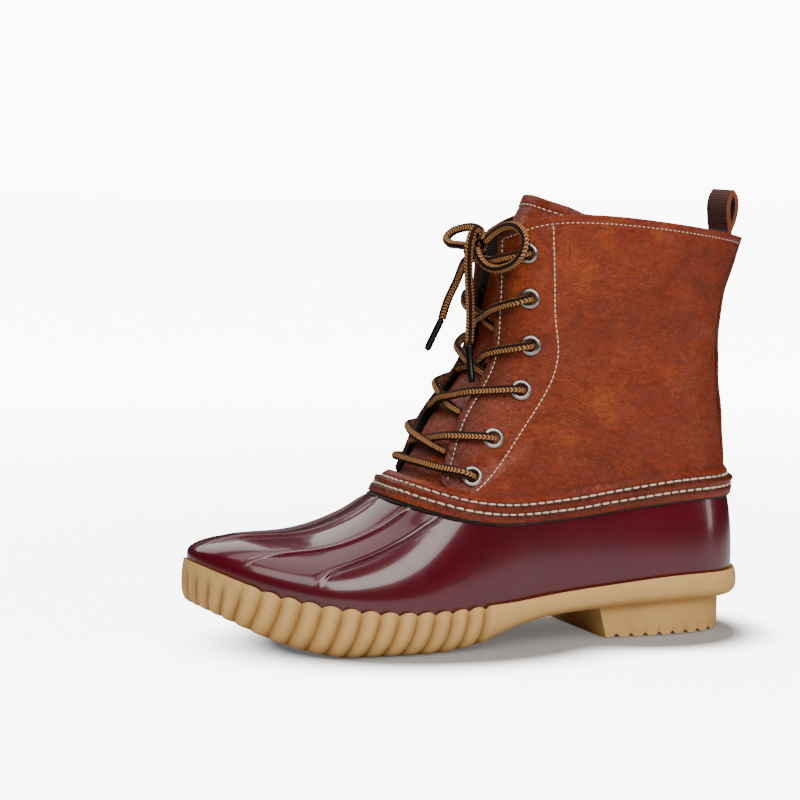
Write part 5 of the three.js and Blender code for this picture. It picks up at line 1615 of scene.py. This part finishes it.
    def felt(self) -> Piece:
        """Returns the dark felt edge that shows under the hem."""
        last = self.form.last
        rows = []
        for lift, out in ((2.5, 0.7), (0.3, 0.9), (-1.0, 1.5), (-1.5, 1.0), (-1.3, 0.4)):
            outer, inner = (last.hem_line(side, lift).at(np.linspace(0, 1, 160)) for side in Side)
            ring = np.vstack([outer, inner[::-1][1:]])
            along = np.gradient(ring, axis=0)
            out_way = unit(np.column_stack([along[:, 1], -along[:, 0], np.zeros(len(ring))]))
            out_way[0] = out_way[-1] = (-1, 0, 0)
            place = np.arange(len(ring))
            wobble = 0.25 * np.sin(place * 0.37) * np.sin(place * 0.113)
            rows.append(ring + out_way * (out + wobble[:, None] * (lift < 0)))
        piece = lofted("hem_felt", last.into_boot(np.stack(rows[::-1]))[:, ::-1], around=True)
        dress(piece, FELT)
        return piece

    def seams(self, seams: Seams) -> None:
        """Sews the hem, the collar, the quarters' edges and the lines behind the eyelets."""
        form = self.form
        hem = Thread(self.hem_pitch, 0.86, 0.5, 0.42)
        outer, inner = (side.value * np.linspace(0, float(form.row_length[side](0)), 420) for side in Side)
        around = np.concatenate([outer[::-1], inner[1:]])
        behind = Profile((0, 0.14, 0.3, 0.48, 0.66, 1), (16.5, 27, 33, 32.6, 29.6, 31))
        for lift in self.hem_rows:
            self.sew(seams, hem, around, lift, np.zeros_like(around))
        for side in Side:
            sign = side.value
            rise = np.linspace(0.03, 0.972, 160)
            self.sew(seams, FINE_THREAD, sign * (self.edge_gap(rise) + 3.1), form.band, rise)
            back = form.row_length[side](0.975)
            across = np.linspace(float(form.gap(0.975)) + 3.5, back - 9, 200)
            top = np.full(200, 1 - 3.3 / form.quarter_length)
            self.sew(seams, FINE_THREAD, sign * across, form.band, top)
            rise = np.linspace(0.012, 0.968, 160)
            self.sew(seams, FINE_THREAD, sign * (form.gap(rise) + behind(rise) * 0.98), form.band, rise)

    def sew(self, seams: Seams, thread: Thread, across: Array, lift: Values, rise: Array) -> None:
        """Sews one line on the leather's face."""
        seams.sew(thread, self.point(across, lift, rise), self.form.outward(across, lift, rise))

    def build(self, seams: Seams) -> None:
        """Builds and dresses the shaft and sews it."""
        stands_for(self.body(), "shaft")
        stands_for(self.felt(), "shaft")
        self.seams(seams)


class Sheet:
    """Grid of points that is read by shares across and up."""

    def __init__(self, grid: Array) -> None:
        """Keeps the grid and its directions."""
        self.grid = grid
        self.normals = grid_normals(grid, False)

    def read(self, u: Values, v: Values) -> tuple[Array, Array]:
        """Returns the points and directions at shares across and up."""
        u, v = np.broadcast_arrays(np.asarray(u, float), np.asarray(v, float))
        rows, columns = self.grid.shape[:2]
        x, y = np.clip(u, 0, 1) * (columns - 1), np.clip(v, 0, 1) * (rows - 1)
        i, j = np.minimum(x.astype(int), columns - 2), np.minimum(y.astype(int), rows - 2)
        a, b = (x - i)[..., None], (y - j)[..., None]

        def blended(grid: Array) -> Array:
            """Returns the grid's value between four points."""
            low = grid[j, i] * (1 - a) + grid[j, i + 1] * a
            return low * (1 - b) + (grid[j + 1, i] * (1 - a) + grid[j + 1, i + 1] * a) * b

        return blended(self.grid), unit(blended(self.normals))


@dataclass
class Tongue:
    """Leather tongue with a folded, stitched edge and a dark lining."""

    form: ShaftForm
    thickness: float = 3
    shaft_wall: float = 2
    clearance: float = 0.3
    above_collar: float = 17
    lap: float = 14
    top_width: float = 84
    drop: float = 2.4
    shoulder: float = 30
    lean: float = 12
    wrap: float = 24
    start: float = 9.5
    seam_inset: float = 4

    def build(self, seams: Seams) -> None:
        """Builds and dresses the tongue and sews its edge."""
        form = self.form
        keys = (0, 0.15, 0.5, 0.75, 1)
        low = form.throat_bottom_gap
        widths = [share * low + self.lap for share in (0.5, 0.46, 0.31)]
        half = Profile(keys, [*widths, 0.44 * self.top_width, 0.5 * self.top_width])
        drop = Profile(keys, (0, self.drop, self.drop, self.drop, 1.5 * self.drop))
        lean = Profile(keys, (0, 0, 0, 0.18 * self.lean, self.lean))
        wrap = Profile(keys, (0, 0, 0, 0.2 * self.wrap, self.wrap))
        rise, across = np.meshgrid(np.linspace(0, 1, 110), np.linspace(-1, 1, 81), indexing="ij")
        shoulder = self.shoulder * np.abs(across) ** 2.2 * rise
        climb = rise * (1 + (self.above_collar - shoulder) / form.quarter_length)
        lift = mix(self.start, form.band, np.minimum(1, rise * 4))
        distance = np.abs(across) * half(rise)
        sides = {
            side: form.by_share(side, 1 - distance / form.row_length[side](np.minimum(rise, 1)), lift, climb)
            for side in Side
        }
        grid = np.where(across[..., None] < 0, sides[Side.OUTER], sides[Side.INNER])
        normal = grid_normals(grid, False)
        creased = 0.5 * np.sin(rise * 19 + across * 1.3) * hump(rise, 0.42, 0.42) * (1 - across**2)
        edge = np.minimum((1 - np.abs(across)) * half(rise), (1 - rise) * form.quarter_length * 0.9)
        fold = 0.4 * smooth(edge, 4.0, 2.2) - 0.35 * hump(edge, 3.9, 1.0)
        under = self.shaft_wall + self.clearance + drop(rise)
        grid = grid + normal * (creased + fold - under)[..., None]
        grid[..., 0] -= lean(rise) + wrap(rise) * across**2
        sheet = Sheet(grid)
        piece = lofted("tongue", form.last.into_boot(grid)[:, ::-1])
        dress(piece, HIDE, LINING, HIDE_EDGE)
        walled(piece, self.thickness, 0.9, inside=1, rim=2)
        stands_for(piece, "tongue")
        side = np.linspace(0.7, 0.964, 60)
        top = np.linspace(0.955, 0.045, 160)
        inset = self.seam_inset / (2 * half(side))
        u = np.concatenate([inset, 1 - top, 1 - inset[::-1]])
        v = np.concatenate([side, np.full(len(top), 0.968), side[::-1]])
        seams.sew(TONGUE_THREAD, *sheet.read(u, v))


@dataclass
class BackStay:
    """Stitched strip of leather over the shaft's back seam."""

    form: ShaftForm
    leather: LeatherShaft
    width: float = 22
    thickness: float = 1.3
    off: float = 0.5
    start: float = 0.006
    settled: float = 0.09

    def build(self, seams: Seams) -> None:
        """Builds and dresses the strip and sews its edges."""
        form = self.form
        across, rise = np.linspace(-1, 1, 25), np.linspace(self.start, 1, 90)[:, None]
        away = np.abs(across)
        grid = np.empty((len(rise), len(across), 3))
        for side, part in ((Side.INNER, across < 0), (Side.OUTER, across >= 0)):
            share = away[part] * self.width / 2 / form.row_length[side](rise)
            grid[:, part] = form.by_share(side, share, form.band, rise)
        settle = mix(0.1, 1, smooth(rise, 0, self.settled))
        grid[..., 0] -= self.off + 0.24 * away
        grid[..., 0] -= self.thickness * (1 - 0.35 * away**8) * settle
        grid[..., 0] += 0.3 * hump(away, 0.8, 0.12)
        grid[..., 0] -= self.leather.flare(rise) + 0.18 * np.sin(rise * 31)
        sheet = Sheet(grid)
        piece = lofted("back_stay", form.last.into_boot(grid)[:, ::-1])
        dress(piece, HIDE, HIDE_EDGE, HIDE_EDGE)
        walled(piece, self.thickness, 0.35, inside=1, rim=2)
        stands_for(piece, "back_stay")
        for share in (0.1, 0.9):
            seams.sew(FINE_THREAD, *sheet.read(share, np.linspace(0.03, 0.985, 120)))


@dataclass
class PullLoop:
    """Woven strap bent into a teardrop over the back of the collar."""

    width: float = 19
    length: float = 8
    height: float = 22
    thickness: float = 2
    profile: tuple[tuple[float, float], ...] = (
        (0.58, -0.15), (0.42, 0), (0.52, 0.34), (0.56, 0.62), (0.36, 0.88), (0.02, 1),
        (-0.34, 0.86), (-0.46, 0.6), (-0.32, 0.3), (0.02, 0), (0.24, -0.15),
    )

    def build(self) -> None:
        """Builds and dresses the strap, set to the CAD node's place."""
        middle = Route([(-forward * self.length, up * self.height) for forward, up in self.profile])
        share = np.linspace(0, 1, 90)
        line, along = middle.at(share), middle.along(share, 4e-3)
        out = np.column_stack([along[:, 1], -along[:, 0]])
        half = self.thickness / 2
        across = np.linspace(-1, 1, 15)
        thin = half * (1 - 0.12 * np.abs(across) ** 6)
        grid = np.empty((len(share), len(across), 3))
        face = line[:, None] + out[:, None] * thin[None, :, None]
        grid[..., 0], grid[..., 2] = face[..., 0], face[..., 1]
        grid[..., 1] = across[None] * self.width / 2
        low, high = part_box("pull_loop")
        piece = lofted("pull_loop", grid[:, ::-1] * MM)
        dress(piece, WEBBING, LINING, WEBBING_EDGE)
        walled(piece, self.thickness, 0.25, inside=1, rim=2)
        corners = np.array([vertex.co for vertex in piece.data.vertices])
        move = (Vector(low) + Vector(high)) / 2 - Vector((corners.min(0) + corners.max(0)) / 2)
        piece.data.transform(Matrix.Translation(move))
        stands_for(piece, "pull_loop")


@dataclass
class Insole:
    """Cloth-covered footbed inside the shell."""

    bevel: float = 0.8

    def build(self) -> None:
        """Covers a merged copy of the footbed with cloth."""
        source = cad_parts["insole"]
        piece = source.copy()
        piece.data = source.data.copy()
        piece.name = piece.data.name = "footbed"
        for key in list(piece.keys()):
            del piece[key]
        piece.parent = None
        bpy.context.scene.collection.objects.link(piece)
        edited(piece, merged(1e-5))
        finished(
            piece, "BEVEL", width=self.bevel * MM, segments=2, limit_method="ANGLE",
            angle_limit=math.radians(50),
        )
        smoothed(piece, 45)
        dress(piece, LINING)
        stands_for(piece, "insole")


@dataclass
class Eyelet:
    """Plated ring eyelet, modelled once and set in each hole."""

    bore: float = 2.5
    barrel: float = 3.15
    flange: float = 4.7
    depth: float = 2.9
    seat: float = 0.6
    top: float = 1.6

    def model(self) -> Piece:
        """Returns the eyelet, spun around +Z with its seat at height 0."""
        bore, barrel, flange, low, seat = self.bore, self.barrel, self.flange, -self.depth, self.seat
        profile = [
            (bore, low), (bore, 0.2), (2.62, 0.85), (2.85, 1.3), (3.25, self.top), (3.7, self.top),
            (4.15, 1.42), (4.5, 1.1), (flange, 0.75), (flange, seat), (barrel, seat),
            (barrel, low), (bore, low),
        ]
        deselect()
        bpy.ops.mesh.primitive_circle_add(vertices=len(profile), radius=MM)
        piece = bpy.context.object
        piece.name = "eyelet"
        for vertex, (radius, height) in zip(piece.data.vertices, profile):
            vertex.co = (radius * MM, 0, height * MM)
        turn = {"steps": 32, "angle": 2 * math.pi, "center": (0, 0, 0), "axis": (0, 0, 1), "dupli": False}
        edited(
            piece, lambda: bpy.ops.mesh.spin(**turn), lambda: bpy.ops.mesh.select_all(action="SELECT"),
            merged(1e-5), consistent,
        )
        smoothed(piece, 45)
        return piece

    def seat_of(self, node: str) -> tuple[Vector, Vector]:
        """Reads a CAD eyelet's seat.

        Args:
            node: The CAD node's name.
        Returns:
            The middle of its seat and the direction that it faces, in metres.
        """
        points = np.array([vertex.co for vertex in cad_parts[node].data.vertices], float)
        points = np.unique(np.round(points, 7), axis=0)
        centre = points.mean(axis=0)
        values, axes = np.linalg.eigh(np.cov((points - centre).T))
        odd = 0 if values[1] - values[0] > values[2] - values[1] else 2
        axis = axes[:, odd]
        axis = axis * np.sign(np.dot(axis, (-0.35, np.sign(centre[1]), 0.1)))
        reach = ((points - centre) @ axis).max() - self.top * MM
        return Vector(centre + axis * reach), Vector(axis)

    def build(self) -> dict[tuple[Side, int], tuple[Vector, Vector]]:
        """Sets the eyelets and returns their seats by side and number."""
        model = self.model()
        seats = {}
        for side in Side:
            for index in range(6):
                name = f"eyelet_{'lateral' if side is Side.OUTER else 'medial'}_{index + 1}"
                middle, out = self.seat_of(name)
                seats[side, index] = (middle, out)
                piece = bpy.data.objects.new(f"{name}_ring", model.data.copy())
                bpy.context.scene.collection.objects.link(piece)
                turn = Vector((0, 0, 1)).rotation_difference(out).to_matrix().to_4x4()
                piece.data.transform(Matrix.Translation(middle) @ turn)
                dress(piece, EYELET)
                stands_for(piece, name)
        bpy.data.objects.remove(model)
        return seats


@dataclass
class Lacing:
    """Lace over the throat: a low bar, four crossings and the ends that rise to the knot."""

    form: ShaftForm
    seats: dict[tuple[Side, int], tuple[Vector, Vector]]
    diameter: float = 4
    clearance: float = 0.3
    shaft_wall: float = 2
    tongue_drop: float = 2.4
    eyelet_metal: float = 0.5
    flange: float = 9.4
    rim_dip: float = 0.25
    way_out: tuple[tuple[float, float], ...] = ((-2.2, -0.4), (0.9, 0.25), (2.9, 2.1))
    end: float = 1.4
    strand: tuple[Quad, ...] = (
        (0.35, 0.06, 1.0, 1.0), (0, 0.13, 0.95, 0.9), (-0.3, 0.25, 0.62, 0.16), (-0.5, 0.34, 0.36, 0.0),
        (-0.75, 0.45, 0.12, 0.0), (-1, 0.54, 0.0, 0.0),
    )

    def __post_init__(self) -> None:
        """Works out the lifts of the lace's middle over the skin."""
        self.radius = self.diameter / 2
        self.over_eyelet = 3 * self.clearance + 2 * self.eyelet_metal + self.radius
        self.over_skin = 3 * self.clearance + self.radius
        depth = self.shaft_wall + self.clearance + self.tongue_drop
        self.over_tongue = self.radius + 2 * self.clearance - depth
        self.crossed = self.over_tongue + 1.7 * self.radius

    def lift(self, share: float, top: bool) -> float:
        """Returns a lift from its share between the tongue (0) and the skin (1).

        Args:
            share: The share.
            top: Whether the strand lies on top, so that it clears the one below.
        Returns:
            The lift in millimetres.
        """
        value = mix(self.over_tongue, self.over_skin, share)
        return max(value, self.crossed) if top and 0.3 < share < 0.65 else value

    def through(self, side: Side, index: int, towards: Array) -> list[Array]:
        """Returns the points of a strand's start, out of its eyelet and over the rim, in millimetres."""
        middle, out = (np.array(part) for part in self.seats[side, index])
        middle = middle / MM
        start = middle + out * self.over_eyelet
        along = towards - start
        along = along - out * (along @ out)
        along = along / np.linalg.norm(along)
        points = [middle + out * up + along * ahead for up, ahead in self.way_out]
        return [*points, start + along * self.flange / 2 - out * self.rim_dip]

    def over(self, across: float, rise: float, lift: float) -> Array:
        """Returns a point over the throat, in the frame and in millimetres."""
        point = self.form.lifted(np.array([across]), self.form.band, np.array([rise]), np.array([lift]))
        return self.form.last.into_boot(point)[0] / MM

    def strand_route(self, side: Side, index: int, top: bool) -> Route:
        """Returns one strand from its eyelet to under the other quarter's edge."""
        rises = self.form.eyelet_rises
        points = []
        for place, drop, over, under in self.strand:
            rise = float(mix(rises[index], rises[index + 1], drop))
            gap = float(self.form.gap(rise))
            reach = gap + place * float(self.form.setback(rise)) if place > 0 else gap * (1 + 2 * place)
            lift = self.lift(over if top else under, top)
            points.append(self.over(side.value * max(reach, self.end - gap), rise, lift))
        return Route([*self.through(side, index, points[0]), *points])

    def bar_route(self, index: int, middle_lift: float) -> Route:
        """Returns a bar from one eyelet to its opposite."""
        rise = float(self.form.eyelet_rises[index])
        gap = float(self.form.gap(rise))
        beside = mix(self.over_skin, middle_lift, 0.6)
        edge = self.over_skin
        table = ((-1, edge), (-0.45, beside), (0, middle_lift), (0.45, beside), (1, edge))
        between = [self.over(share * gap, rise, lift) for share, lift in table]
        start = self.through(Side.OUTER, index, between[0])
        end = self.through(Side.INNER, index, between[-1])
        return Route([*start, *between, *end[::-1]])

    def build(self) -> None:
        """Builds and dresses the bar, the crossings and the tie behind the knot."""
        last = len(self.form.eyelet_rises) - 1
        for name, index, lift in (("lace_bar", last, self.crossed), ("lace_tie", 0, self.over_tongue)):
            stands_for(braided(f"{name}_braid", self.bar_route(index, lift), self.radius), name)
        for index in range(1, last):
            parts = []
            for side in Side:
                top = (side is Side.OUTER) == (index % 2 == 1)
                route = self.strand_route(side, index, top)
                parts.append(tube(f"strand_{side.name.lower()}", route, self.radius * BRAID_SHARE))
            piece = joined(f"lace_cross_{index + 1}_braid", parts)
            dress(piece, BRAIDED)
            stands_for(piece, f"lace_cross_{index + 1}")


@dataclass
class Bow:
    """Bow at the top of the throat: a knot, two loops and two ends with their tips."""

    diameter: float = 4
    tip_diameter: float = 3.2
    knot: Point = (-94, -2, 178.5)
    knot_turns: float = 1.55
    knot_start: float = 0.6
    knot_depth: float = 2.5
    knot_height: float = 2.9
    knot_reach: float = 1.9
    loop_lateral: Points = (
        (-92.6, -6.5, 179.6), (-90.8, -10.8, 183.2), (-89, -16.6, 186.3), (-87.2, -23, 187.5),
        (-86.2, -28.8, 186.2), (-85.9, -34, 181.7), (-86.9, -34, 176.3), (-88, -29.6, 171.9),
        (-89.6, -23.4, 169.2), (-91.8, -17.2, 167.8), (-94.8, -12.5, 169), (-97.3, -10, 172.6),
        (-97.2, -7, 175.8),
    )
    loop_medial: Points = (
        (-91.5, 1.5, 180.2), (-89.6, 6, 183.8), (-91, 11, 185.2), (-93.6, 16.5, 184.6),
        (-96.8, 21, 182.6), (-99.2, 22.2, 179.6), (-98.9, 19, 177.3), (-97, 13, 177), (-95.6, 7, 176.8),
        (-95, 2, 176.8),
    )
    end_lateral: Points = (
        (-95.83, -4.13, 182.16), (-97, -5.5, 184.5), (-100, -8.4, 184), (-102.2, -10, 179),
        (-102.4, -9.8, 171.4), (-101.8, -9.4, 162.4), (-101, -9.4, 153.4), (-101.2, -10.6, 144.4),
        (-102, -12.2, 134.4),
    )
    end_medial: Points = (
        (-96.79, -2.45, 174.99), (-98.65, -2.75, 172.65), (-99.6, 1, 169.6), (-99.2, 5, 166.4),
        (-98.6, 10.6, 161.1), (-100.6, 16, 151.6), (-101.9, 19, 143.2),
    )
    tip_lateral: Points = ((-102.1, -12.4, 133.6), (-102, -13.6, 125.8), (-101.8, -15.6, 117))
    tip_medial: Points = ((-102.1, 19.3, 142.4), (-104.2, 22, 135.6), (-106.4, 25, 128.2))

    def knot_route(self) -> Route:
        """Returns the turns that make the knot, wound around its middle."""
        turn = np.linspace(0, 2 * np.pi * self.knot_turns, 22) + self.knot_start
        middle = np.array(self.knot)
        aside = unit(np.array([0.25, 0.95, 0.05]))
        front = unit(np.cross(aside, [0, 0, 1]))
        up = np.cross(front, aside)
        swing = np.linspace(-self.knot_reach, self.knot_reach, len(turn))[:, None]
        deep, high = np.cos(turn)[:, None] * front, np.sin(turn)[:, None] * up
        ring = deep * self.knot_depth + high * self.knot_height + swing * aside
        return Route(middle + ring)

    def cord(self, name: str, points: Points, nodes: tuple[str, ...], end: str, *pieces: Piece) -> None:
        """Args:
            name: The piece's name.
            points: Its route, in millimetres.
            nodes: The CAD nodes that it stands for.
            end: What is on its far end; not used.
            pieces: The pieces on its far end; not used.
        """
        route = Route(points)
        piece = stands_for(braided(name, route, self.diameter / 2), *nodes)
        path = [Vector(point) * MM for point in route.places(3)]

    def tip(self, name: str, points: Points, node: str) -> Piece:
        """Builds the plastic tip of one end."""
        radius = self.tip_diameter / 2
        piece = tube(name, Route(points), [radius * 0.98] + [radius] * 12 + [radius * 0.8], sides=24)
        dress(piece, TIP)
        return stands_for(piece, node)

    def build(self) -> None:
        stands_for(braided("lace_knot", self.knot_route(), self.diameter / 2), "lace_bow")
        lateral = self.tip("tip_lateral", self.tip_lateral, "aglet_lateral")
        medial = self.tip("tip_medial", self.tip_medial, "aglet_medial")
        self.cord("loop_lateral", self.loop_lateral, ("lace_bow",), "knot")
        self.cord("loop_medial", self.loop_medial, ("lace_bow",), "knot")
        self.cord("end_lateral", self.end_lateral, ("lace_end_lateral",), "fitting", lateral)
        self.cord("end_medial", self.end_medial, ("lace_end_medial",), "fitting", medial)


@dataclass(frozen=True)
class Lamp:
    """Soft lamp: its place, target and size in metres, and its power in watts."""

    name: str
    place: Point
    target: Point
    size: tuple[float, float]
    power: float

    def build(self) -> None:
        """Adds the lamp."""
        data = bpy.data.lights.new(self.name, "AREA")
        data.shape = "RECTANGLE"
        data.size, data.size_y = self.size
        data.energy = self.power
        lamp = bpy.data.objects.new(self.name, data)
        lamp.location = self.place
        ahead = Vector(self.target) - Vector(self.place)
        lamp.rotation_euler = ahead.to_track_quat("-Z", "Y").to_euler()
        bpy.context.scene.collection.objects.link(lamp)


@dataclass
class Studio:
    """Camera at the photograph's angle, pale floor and soft studio light."""

    azimuth: float = -23
    elevation: float = 5.9
    roll: float = 1.4
    focal: float = 2800
    frame_size: float = 800
    sensor: float = 36
    shift_x: float = 117
    shift_y: float = -105
    depth: float = 1319
    floor_glow: float = 10.4
    backdrop: float = 11
    even_light: float = 0.1
    mirrored_light: float = 0.03
    shadow: Quad = (0.27, 0.25, 0.23, 1.0)
    pale: Quad = (0.9, 0.9, 0.89, 1.0)
    # Painted reflection: the dark colour that glossy rays see on the far floor.
    distance: Quad = (0.05, 0.05, 0.05, 1.0)
    floor_size: float = 12
    floor_roughness: float = 0.7
    # Share of the floor's glow left next to the boot, a painted shade that fades out further away.
    painted_shade_glow: float = 0.65
    # Middles and half sizes of the two ellipses of the painted shadow under the boot.
    bearings: tuple[tuple[tuple[float, float], tuple[float, float]], ...] = (
        ((-0.115, -0.01), (0.085, 0.06)), ((-0.01, -0.01), (0.05, 0.05)),
    )
    lamps: tuple[Lamp, ...] = (
        Lamp("front", (-0.03, -0.78, 0.62), (-0.14, -0.04, 0.05), (0.55, 0.5), 5),
        Lamp("key", (-0.75, -0.75, 1.05), MIDDLE, (0.9, 0.8), 6.8),
        Lamp("top", (-0.14, 0.1, 1.1), MIDDLE, (0.9, 0.9), 4),
        Lamp("side", (0.95, -0.5, 0.4), MIDDLE, (0.15, 0.8), 1.4),
        Lamp("back", (-0.3, 1.2, 1.0), MIDDLE, (1.2, 0.8), 5.5),
    )

    def axes(self) -> tuple[Vector, Vector, Vector]:
        """Returns the camera's right, up and forward directions."""
        a, e, r = (math.radians(angle) for angle in (self.azimuth, self.elevation, self.roll))
        right = Vector((math.cos(a), math.sin(a), 0))
        forward = Vector((-math.sin(a) * math.cos(e), math.cos(a) * math.cos(e), -math.sin(e)))
        up = right.cross(forward)
        return right * math.cos(r) + up * math.sin(r), up * math.cos(r) - right * math.sin(r), forward

    def camera(self) -> None:
        """Sets the camera."""
        right, up, forward = self.axes()
        eye = -(right * self.shift_x + up * self.shift_y + forward * self.depth) * MM
        data = bpy.data.cameras.new("camera")
        data.sensor_width = self.sensor
        data.lens = self.focal / self.frame_size * self.sensor
        data.clip_start, data.clip_end = 0.05, 50
        camera = bpy.data.objects.new("camera", data)
        columns = Matrix((right, up, -forward)).transposed().to_4x4()
        camera.matrix_world = Matrix.Translation(eye) @ columns
        bpy.context.scene.collection.objects.link(camera)
        bpy.context.scene.camera = camera

    def floor(self) -> None:
        """Lays the pale floor, bright enough to meet the backdrop, with a painted shadow under the boot and a
        dark far floor painted into reflections.
        """
        deselect()
        bpy.ops.mesh.primitive_plane_add(size=self.floor_size)
        piece = bpy.context.object
        piece.name = "floor"
        material = bpy.data.materials.new("pale_floor")
        material.use_nodes = True
        shader = material.node_tree.nodes["Principled BSDF"]
        shader.inputs["Roughness"].default_value = self.floor_roughness
        nodes = Tree(material.node_tree)
        path = nodes.add("ShaderNodeLightPath")
        reach = nodes.length(nodes.place())
        # Painted reflection: glossy rays see the far floor in the dark colour.
        far = nodes.math("MULTIPLY", nodes.ramp(reach, 0.3, 0.65), path.outputs["Is Glossy Ray"])
        # Painted shadow: the floor's colour darkens towards the shadow colour under the boot.
        near = nodes.blend(self.away(nodes), self.shadow, self.pale)
        nodes.feed(nodes.blend(far, near, self.distance), shader.inputs["Base Color"])
        shader.inputs["Emission Color"].default_value = (1, 0.985, 0.965, 1)
        # Painted shadow: the glow is cut under the boot and dimmed near it.
        outer = nodes.ramp(reach, 0.3, 1.1)
        even = nodes.math("MULTIPLY_ADD", outer, 1 - self.painted_shade_glow, self.painted_shade_glow)
        glow = nodes.math("MULTIPLY", path.outputs["Is Camera Ray"], self.floor_glow)
        glow = nodes.math("MULTIPLY", nodes.math("MULTIPLY", glow, self.away(nodes)), even)
        nodes.feed(glow, shader.inputs["Emission Strength"])
        piece.data.materials.append(material)

    def away(self, nodes: Tree) -> ShaderSocket:
        """Returns the painted shadow's mask of the floor: 0 under the boot's two bearing places and 1 well
        away from them.
        """
        place = nodes.place()
        masks = []
        for middle, half in self.bearings:
            moved = nodes.add("ShaderNodeMapping", {
                "Vector": place, "Location": (-middle[0] / half[0], -middle[1] / half[1], 0.0),
                "Scale": (1 / half[0], 1 / half[1], 0.0),
            })
            masks.append(nodes.ramp(nodes.length(moved.outputs[0]), 0.8, 1.5))
        return nodes.math("MAXIMUM", nodes.math("MULTIPLY", masks[0], masks[1]), 0.02)

    def world(self) -> None:
        """Sets the even light around, dimmer where polish mirrors it."""
        world = bpy.data.worlds.new("studio")
        bpy.context.scene.world = world
        world.use_nodes = True
        background = world.node_tree.nodes["Background"]
        nodes = Tree(world.node_tree)
        path = nodes.add("ShaderNodeLightPath")
        background.inputs["Color"].default_value = (1, 1, 0.985, 1)
        dimmed = self.mirrored_light - self.even_light
        around = nodes.math("MULTIPLY_ADD", path.outputs["Is Glossy Ray"], dimmed, self.even_light)
        strength = nodes.math("MULTIPLY_ADD", path.outputs["Is Camera Ray"], self.backdrop, around)
        nodes.feed(strength, background.inputs["Strength"])

    def build(self) -> None:
        """Sets camera, floor and lights."""
        self.camera()
        self.floor()
        self.world()
        for lamp in self.lamps:
            lamp.build()


def main() -> None:
    """Builds the sub-assemblies in order."""
    logging.basicConfig(level=logging.INFO, format="%(name)s %(message)s")
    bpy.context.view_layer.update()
    Studio().build()
    Bow().build()
    last = Last()
    form = ShaftForm(last)
    seams = Seams(last)
    Outsole(last).build()
    RubberShell(last).build()
    leather = LeatherShaft(form)
    leather.build(seams)
    Tongue(form).build(seams)
    BackStay(form, leather).build(seams)
    PullLoop().build()
    Insole().build()
    Lacing(form, Eyelet().build()).build()
    stitches = seams.made("stitches")
    dress(stitches, CREAM)
    stands_for(stitches)


if __name__ == "__main__":
    main()
